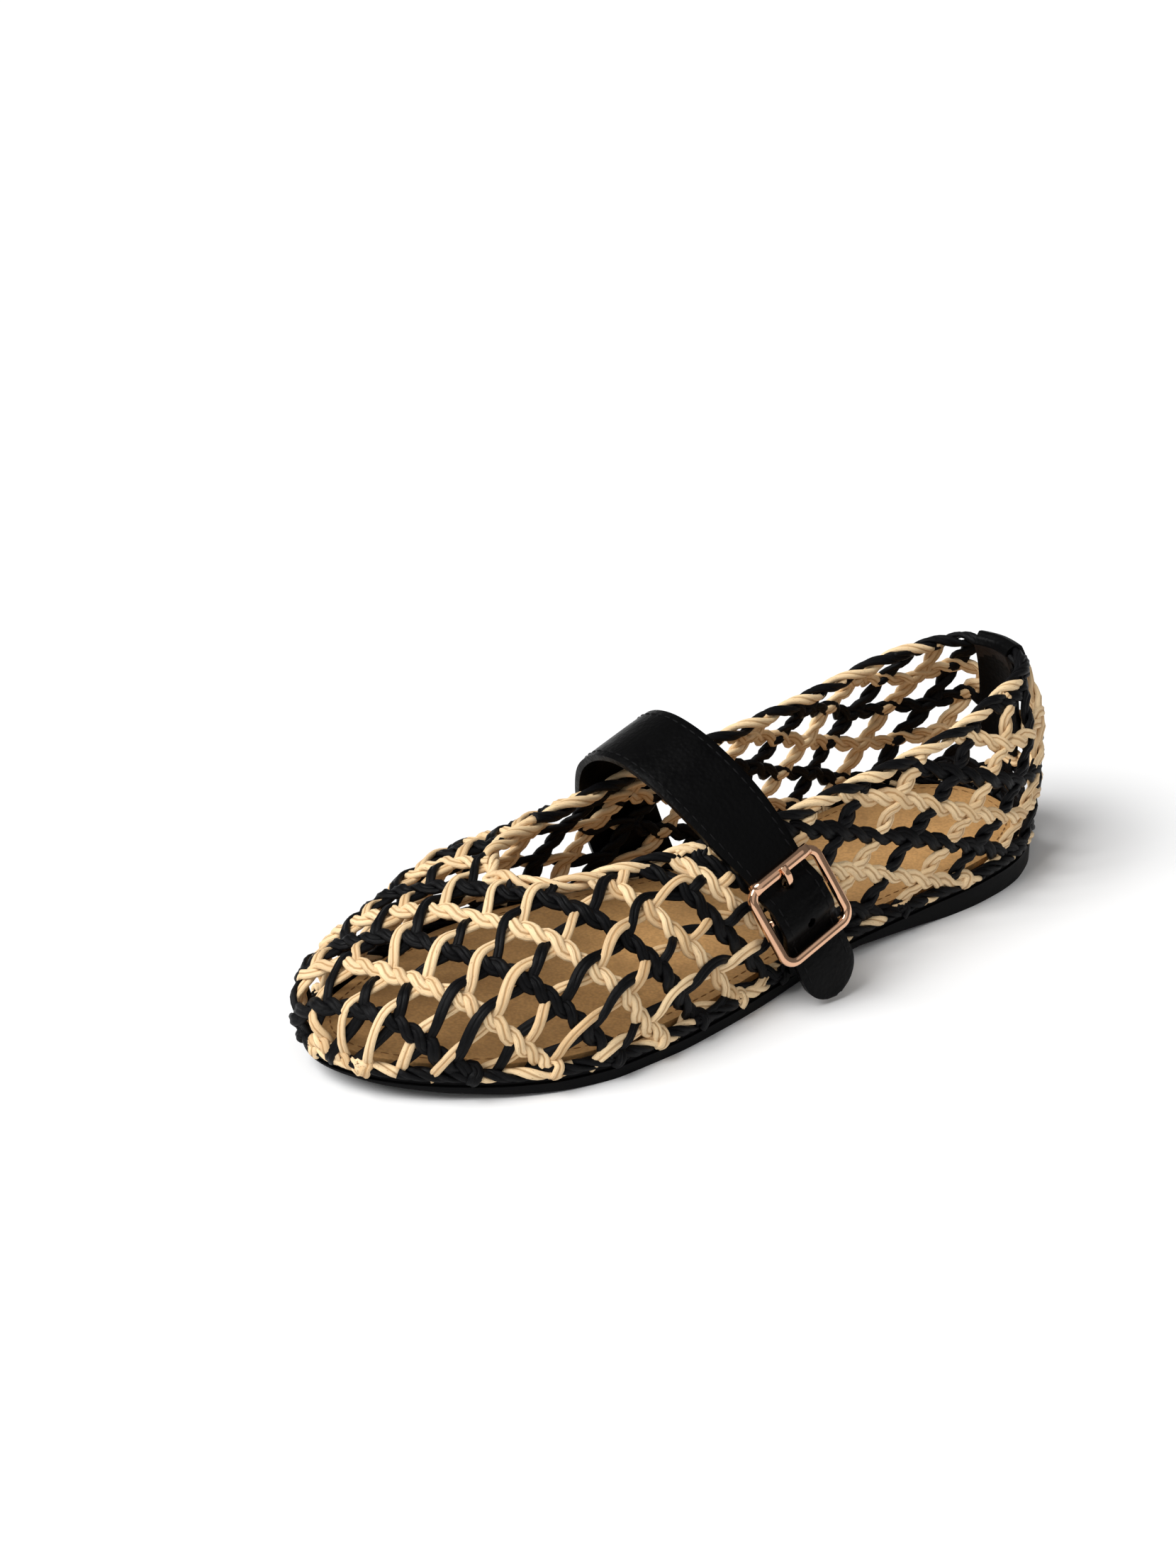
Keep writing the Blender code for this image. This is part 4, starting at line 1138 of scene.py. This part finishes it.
def outline(margin, count):
    """Sole outline as pairs of lateral and medial points, moved inward by a margin."""
    s = end_fine(count)
    lat = np.stack([last("lateral", s), station_y(s)], -1)
    med = np.stack([-last("medial", s), station_y(s)], -1)
    ring = np.concatenate([lat, med[::-1][1:-1]])
    t = unit(np.roll(ring, -1, axis=0) - np.roll(ring, 1, axis=0))
    ring = ring - outward(ring, np.stack([t[:, 1], -t[:, 0]], -1)) * margin
    return ring[:count], np.concatenate([ring[:1], ring[count:][::-1], ring[count - 1:count]])


def slab(name, margin, top, bottom, rim_top, rim_bottom):
    """Sole layer: a grid on its top face, extruded down to its lower face, both rims rounded."""
    lat, med = outline(margin, SOLE_STEPS + 1)
    bm = bmesh.new()
    bmesh.ops.create_grid(bm, x_segments=SOLE_STEPS, y_segments=SOLE_ACROSS, size=1.0)
    for v in bm.verts:
        k = int(round((0.5 + 0.5 * v.co.x) * SOLE_STEPS))
        share = 0.5 + 0.5 * v.co.y
        x, y = med[k] + (lat[k] - med[k]) * share
        v.co = Vector((x, y, float(top(station_at(y))))) * MM
    bmesh.ops.remove_doubles(bm, verts=bm.verts[:], dist=1e-6)
    grown = bmesh.ops.extrude_face_region(bm, geom=bm.faces[:])
    for v in grown["geom"]:
        if isinstance(v, bmesh.types.BMVert):
            v.co.z = float(bottom(station_at(v.co.y / MM))) * MM
    bmesh.ops.recalc_face_normals(bm, faces=bm.faces[:])
    upper_rim, lower_rim = [], []
    for e in sharp_edges(bm, 0.9):
        mid = (e.verts[0].co + e.verts[1].co) * 0.5
        s = station_at(mid.y / MM)
        middle = 0.5 * (float(top(s)) + float(bottom(s)))
        (upper_rim if mid.z / MM > middle else lower_rim).append(e)
    for rim, width in ((lower_rim, rim_bottom), (upper_rim, rim_top)):
        round_rim(bm, [e for e in rim if e.is_valid], width)
    return finish_bmesh(bm, name)


def layer_face(offset):
    """Height of a layer's face at a station, as an offset from the feather edge."""
    return lambda s: last("base", s) + offset


# Settings, operators and panel

class ShoeSettings(bpy.types.PropertyGroup):
    """Sizes and colours of the dressed shoe."""

    natural: bpy.props.FloatVectorProperty(
        name="Natural raffia", description="Colour of the undyed strands", subtype="COLOR",
        default=(0.84, 0.61, 0.355), min=0.0, max=1.0)
    black: bpy.props.FloatVectorProperty(
        name="Black raffia", description="Colour of the dyed strands", subtype="COLOR",
        default=(0.003, 0.003, 0.0035), min=0.0, max=1.0)
    leather: bpy.props.FloatVectorProperty(
        name="Leather", description="Colour of the strap and the heel tab", subtype="COLOR",
        default=(0.0012, 0.0012, 0.0013), min=0.0, max=1.0)
    lining: bpy.props.FloatVectorProperty(
        name="Tab lining", description="Colour of the inside of the heel tab", subtype="COLOR",
        default=(0.012, 0.0075, 0.0055), min=0.0, max=1.0)
    insole: bpy.props.FloatVectorProperty(
        name="Insole", description="Colour of the insole leather", subtype="COLOR",
        default=(0.52, 0.29, 0.11), min=0.0, max=1.0)
    metal: bpy.props.FloatVectorProperty(
        name="Buckle", description="Colour of the plating", subtype="COLOR",
        default=(0.74, 0.44, 0.28), min=0.0, max=1.0)
    strand_width: bpy.props.FloatProperty(
        name="Strand width", description="Width of one strand of the net", unit="LENGTH",
        default=3.0 * MM, min=1.0 * MM, max=4.0 * MM)
    strand_depth: bpy.props.FloatProperty(
        name="Strand depth", description="Depth of one strand of the net", unit="LENGTH",
        default=1.9 * MM, min=0.5 * MM, max=3.0 * MM)
    rope_width: bpy.props.FloatProperty(
        name="Topline strand", description="Width of one strand of the topline rope", unit="LENGTH",
        default=2.9 * MM, min=1.0 * MM, max=5.0 * MM)
    rope_pitch: bpy.props.FloatProperty(
        name="Topline turn", description="Length of one full turn of the topline rope", unit="LENGTH",
        default=20.0 * MM, min=8.0 * MM, max=60.0 * MM)
    stitch_step: bpy.props.FloatProperty(
        name="Stitch step", description="Distance from one stitch to the next", unit="LENGTH",
        default=3.2 * MM, min=1.5 * MM, max=8.0 * MM)
    floor: bpy.props.FloatVectorProperty(
        name="Floor", description="Colour of the studio floor", subtype="COLOR",
        default=(0.90, 0.90, 0.90), min=0.0, max=1.0)


def settings():
    return bpy.context.scene.raffia_flat


def raffia_pair():
    """The two raffia finishes, made once."""
    have = bpy.data.materials
    if "natural raffia" not in have:
        look = settings()
        natural, black = tuple(look.natural), tuple(look.black)
        # Each raffia gets a darker colour painted into its ply groove as shade
        raffia_finish("natural raffia", natural, RAFFIA_GROOVE_SHADE, RAFFIA_FLECK, 0.55, 0.3)
        raffia_finish("black raffia", black, shade(black, 0.35), shade(black, 5.0), 0.42, 0.1)
    return {False: have["natural raffia"], True: have["black raffia"]}


def add_raffia(prefix, strands, profile):
    """One piece for the natural strands and one for the black ones."""
    for dark, colour in ((False, "natural"), (True, "black")):
        mesh = swept(prefix + colour, strands[dark], profile)
        add_piece(prefix + colour, mesh, [raffia_pair()[dark]], ["upper"])


def add_stitches(name, bm, thread, colour):
    add_piece(name, finish_bmesh(bm, name), [thread_mat(thread, colour)], [])


def leather_mat():
    if "black leather" not in bpy.data.materials:
        leather_finish("black leather", tuple(settings().leather), 0.38, 950.0, 0.065)
    return bpy.data.materials["black leather"]


def thread_mat(name, colour):
    if name not in bpy.data.materials:
        f = Finish(name, 0.6, specular=0.1)
        ply = f.noise(f.place("Object", (900.0, 900.0, 900.0)), 1.0, 2.0)
        f.done(f.mix(ply, shade(colour, 0.6), shade(colour, 1.5)), None, f.bump(ply, 0.4, 0.1))
    return bpy.data.materials[name]


class SHOE_OT_net(bpy.types.Operator):
    """Weave the openwork upper from natural and black strands"""
    bl_idname = "shoe.net"
    bl_label = "Openwork net"

    def execute(self, context):
        look = settings()
        half_wide, half_deep = look.strand_width / MM / 2.0, look.strand_depth / MM / 2.0
        strands = net_strands()
        line, n = feather_line()
        line = line + n * EDGE_CORD_OUT + UP * EDGE_CORD_UP
        edge = cord_strands(line, n, True, *EDGE_CORD, self.edge_colours)
        heights = np.linspace(*girth_limits(BACK_SEAM, 1.0), SEAM_COUNT)
        seam = np.array([on_wall(BACK_SEAM, g) for g in heights])
        behind = np.tile([0.0, 1.0, 0.0], (SEAM_COUNT, 1))
        back = cord_strands(seam, behind, False, *SEAM_CORD, lambda _, p: np.full(len(p), True))
        strands = {dark: strands[dark] + edge[dark] + back[dark] for dark in strands}
        add_raffia("net_", strands, lobed(half_wide, half_deep, STRAND_GROOVE))
        return {"FINISHED"}

    def edge_colours(self, which, p):
        step, least = EDGE_CORD_DARK
        return (which == 0) | (np.sin(p[:, 1] * step) > least)


class SHOE_OT_topline(bpy.types.Operator):
    """Lay the two-strand rope along the topline"""
    bl_idname = "shoe.topline"
    bl_label = "Topline rope"

    def execute(self, context):
        look = settings()
        half = look.rope_width / MM / 2.0
        pitch = look.rope_pitch / MM
        strands = cord_strands(*topline_line(), True, pitch, ROPE_RADIUS, ROPE_TONES, self.colours)
        add_raffia("topline_", strands, lobed(half, half * ROPE_FLAT, ROPE_GROOVE, ROPE_SIDES))
        return {"FINISHED"}

    def colours(self, which, p):
        front = p[:, 1] < STRAP_FOOT_Y - ROPE_NATURAL_BEFORE
        rear = p[:, 1] > HEEL_END_Y - ROPE_BLACK_BEHIND
        return np.where(front, False, np.where(rear, True, which == 0))


class SHOE_OT_sole(bpy.types.Operator):
    """Build the outsole, the rand and the insole with its stitching"""
    bl_idname = "shoe.sole"
    bl_label = "Sole"

    def execute(self, context):
        look = settings()
        rubber = rubber_finish("sole rubber", RUBBER, 0.5)
        rand = rubber_finish("rand", RUBBER, 0.6)
        sock = leather_finish("insole leather", tuple(look.insole), 0.5, 1300.0, 0.3)
        rand_low = -FIT_GAP - MIDSOLE_THICK
        mesh = slab("sole_outer", 0.0, layer_face(rand_low - FIT_GAP), under, SOLE_RIM, OUTSOLE_CHAMFER)
        add_piece("sole_outer", mesh, [rubber], ["outsole"])
        mesh = slab("sole_rand", OUTSOLE_PROUD, layer_face(-FIT_GAP), layer_face(rand_low),
                    SOLE_RIM, RAND_RIM)
        add_piece("sole_rand", mesh, [rand], ["midsole"])
        insole_top = layer_face(INSOLE_THICK)
        mesh = slab("insole_sock", INSOLE_MARGIN, insole_top, layer_face(0.0), INSOLE_RIM, RAND_RIM)
        add_piece("insole_sock", mesh, [sock], ["insole"])
        lat, med = outline(INSOLE_MARGIN + INSOLE_SEAM, 400)
        ring = np.concatenate([lat, med[::-1][1:-1]])
        ring = even_path(np.concatenate([ring, np.zeros((len(ring), 1))], 1), look.stitch_step / MM)
        ring[:, 2] = insole_top(station_at(ring[:, 1]))
        bm = bmesh.new()
        places = [(p, d, UP) for p, d in zip(ring, line_directions(ring, True))]
        stitch_row(bm, places, *INSOLE_STITCH)
        add_stitches("insole_stitches", bm, "tan thread", TAN_THREAD)
        return {"FINISHED"}


class SHOE_OT_strap(bpy.types.Operator):
    """Cut, round and stitch the strap and the short strap under the buckle"""
    bl_idname = "shoe.strap"
    bl_label = "Strap"

    def execute(self, context):
        band = Band(strap_rows(), STRAP_ROUND)
        mesh = band.mesh("strap_leather", STRAP_THICK, *STRAP_MESH)
        strap = add_piece("strap_leather", mesh, [leather_mat()], ["strap"])
        self.punch(strap)
        bm = bmesh.new()
        band.stitches(bm, settings().stitch_step / MM, STRAP_THICK)
        add_stitches("strap_stitches", bm, "black thread", BLACK_THREAD)
        mesh = Band(chape_rows()).mesh("chape_leather", CHAPE_THICK, *CHAPE_MESH)
        add_piece("chape_leather", mesh, [leather_mat()], ["buckle_chape"])
        return {"FINISHED"}

    def punch(self, strap):
        """Prong hole and spare hole, cut with two pins."""
        for down in (PRONG_HOLE_DOWN, SPARE_HOLE_DOWN):
            ends = Vector(buckle_point(0.0, down, -4.0)) * MM, Vector(buckle_point(0.0, down, 6.0)) * MM
            bm = bmesh.new()
            turn = (ends[1] - ends[0]).to_track_quat("Z", "Y").to_matrix().to_4x4()
            bmesh.ops.create_cone(bm, cap_ends=True, segments=24, radius1=HOLE_RADIUS * MM,
                                  radius2=HOLE_RADIUS * MM, depth=(ends[1] - ends[0]).length,
                                  matrix=Matrix.Translation((ends[0] + ends[1]) * 0.5) @ turn)
            pin = add_object("pin", finish_bmesh(bm, "pin"))
            cut = strap.modifiers.new("hole", "BOOLEAN")
            cut.operation = "DIFFERENCE"
            cut.solver = "EXACT"
            cut.object = pin
            old, strap_mesh = strap.data, applied(strap)
            strap.modifiers.clear()
            strap.data = strap_mesh
            bpy.data.meshes.remove(old)
            strap_mesh.name = strap.name
            bpy.data.objects.remove(pin, do_unlink=True)


class SHOE_OT_buckle(bpy.types.Operator):
    """Bend the buckle frame, its centre bar and the prong"""
    bl_idname = "shoe.buckle"
    bl_label = "Buckle"

    def execute(self, context):
        gold = metal_finish("rose plating", tuple(settings().metal))
        w, h, c = BUCKLE_WIDE / 2.0, BUCKLE_TALL / 2.0, BUCKLE_CORNER
        pts = []
        for cx, cy, start in ((w - c, h - c, 0.0), (-w + c, h - c, 90.0), (-w + c, -h + c, 180.0),
                              (w - c, -h + c, 270.0)):
            for k in range(10):
                t = math.radians(start + 10.0 * k)
                pts.append(buckle_point(cx + c * math.cos(t), cy + c * math.sin(t), 0.0))
        out = unit(buckle_point(0.0, 0.0, 1.0) - buckle_point(0.0, 0.0, 0.0))
        pts = np.array(pts)
        width = np.cross(line_directions(pts, True), out)
        frame_mesh = swept("buckle_ring", [{"points": pts, "width": width}],
                           rounded(BUCKLE_ROD, BUCKLE_ROD * 0.92, 2.7), True)
        add_piece("buckle_ring", frame_mesh, [gold], ["buckle_frame"])
        sleeve = rounded(BUCKLE_ROD + SLEEVE, BUCKLE_ROD + SLEEVE, 2.3, 32)
        bar = rounded(BAR_RADIUS, BAR_RADIUS, 2.0)
        for name, node, reach, down, out_by, section in (
                ("buckle_sleeve", "buckle_frame", w - SLEEVE_SHORT, -h, 0.0, sleeve),
                ("buckle_pin", "buckle_bar", w - BUCKLE_ROD - FIT_GAP, 0.0, BAR_OUT, bar)):
            pts = np.array([buckle_point(reach * k / 4.0, down, out_by) for k in range(-4, 5)])
            mesh = swept(name, [{"points": pts, "width": np.tile(out, (9, 1))}], section)
            add_piece(name, mesh, [gold], [node])
        top = BUCKLE_ROD + FIT_GAP + PRONG_DEEP / 2.0 + 0.2
        arch = ((PRONG_DOWN, -0.9), (PRONG_DOWN - 0.1, 0.9), (PRONG_DOWN - 0.9, 1.75),
                (-h + 1.6, top), (-h, top), (-h - 1.3, top - 0.3))
        pts = smooth_path([buckle_point(0.0, down, out_by) for down, out_by in arch], 6)
        side = unit(buckle_point(1.0, 0.0, 0.0) - buckle_point(0.0, 0.0, 0.0))
        mesh = swept("buckle_tongue", [{"points": pts, "width": np.tile(side, (len(pts), 1))}],
                     rounded(PRONG_WIDE / 2.0, PRONG_DEEP / 2.0, 4.0))
        add_piece("buckle_tongue", mesh, [gold], ["buckle_prong"])
        return {"FINISHED"}


class SHOE_OT_tab(bpy.types.Operator):
    """Fold the leather tab over the back of the topline"""
    bl_idname = "shoe.tab"
    bl_label = "Heel tab"

    def execute(self, context):
        mesh = sheet("tab_leather", *TAB_MESH, tab_place, TAB_THICK, TAB_RIM)
        lining = leather_finish("tab lining", tuple(settings().lining), 0.45, 1100.0, 0.15)
        tab = add_piece("tab_leather", mesh, [leather_mat(), lining], ["heel_tab"])
        middle = on_wall(BACK_SEAM, girth_limits(BACK_SEAM, 1.0)[0])
        for face in tab.data.polygons:
            inside = face.center.y / MM < middle[1] - WALL_IN - TAB_CLEAR * 0.8
            if inside and face.center.z / MM < middle[2] - 1.0:
                face.material_index = 1
        return {"FINISHED"}


class SHOE_OT_stage(bpy.types.Operator):
    """Set the floor, the soft lights and the camera"""
    bl_idname = "shoe.stage"
    bl_label = "Stage"

    def execute(self, context):
        scene = context.scene
        bm = bmesh.new()
        bmesh.ops.create_circle(bm, cap_ends=True, segments=96, radius=FLOOR_RADIUS)
        mesh = bpy.data.meshes.new("floor")
        bm.to_mesh(mesh)
        bm.free()
        mesh.materials.append(floor_finish("studio paper", tuple(settings().floor)))
        floor = add_object("floor", mesh)
        world = bpy.data.worlds.new("studio")
        world.use_nodes = True
        world.node_tree.nodes["Background"].inputs["Color"].default_value = (1.0, 1.0, 1.0, 1.0)
        world.node_tree.nodes["Background"].inputs["Strength"].default_value = WORLD_LIGHT
        scene.world = world
        for name, strength, angle, source in SUNS:
            light = bpy.data.lights.new(name, "SUN")
            light.energy = strength
            light.angle = math.radians(angle)
            sun = add_object(name, light)
            sun.rotation_euler = Vector(source).to_track_quat("Z", "Y").to_euler()
        lens = bpy.data.cameras.new("camera")
        lens.lens = CAMERA_LENS
        lens.sensor_width = CAMERA_SENSOR
        lens.clip_start = 0.01
        camera = add_object("camera", lens)
        camera.location = CAMERA_PLACE
        camera.rotation_euler = (math.radians(CAMERA_PITCH), 0.0, math.radians(CAMERA_TURN))
        scene.camera = camera
        scene.view_settings.view_transform = "Standard"
        return {"FINISHED"}


STEPS = (SHOE_OT_sole, SHOE_OT_net, SHOE_OT_topline, SHOE_OT_strap, SHOE_OT_buckle, SHOE_OT_tab,
         SHOE_OT_stage)


class SHOE_PT_panel(bpy.types.Panel):
    """Settings and steps of the shoe"""
    bl_idname = "SHOE_PT_panel"
    bl_label = "Openwork raffia flat"
    bl_space_type = "VIEW_3D"
    bl_region_type = "UI"
    bl_category = "Shoe"

    def draw(self, context):
        look = context.scene.raffia_flat
        for name in ShoeSettings.__annotations__:
            self.layout.prop(look, name)
        for step in STEPS:
            self.layout.operator(step.bl_idname)


CLASSES = (ShoeSettings, *STEPS, SHOE_PT_panel)


def register():
    for cls in CLASSES:
        bpy.utils.register_class(cls)
    bpy.types.Scene.raffia_flat = bpy.props.PointerProperty(type=ShoeSettings)


def unregister():
    del bpy.types.Scene.raffia_flat
    for cls in reversed(CLASSES):
        bpy.utils.unregister_class(cls)


def main():
    register()
    bpy.ops.shoe.sole()
    bpy.ops.shoe.net()
    bpy.ops.shoe.topline()
    bpy.ops.shoe.strap()
    bpy.ops.shoe.buckle()
    bpy.ops.shoe.tab()
    bpy.ops.shoe.stage()


if __name__ == "__main__":
    main()
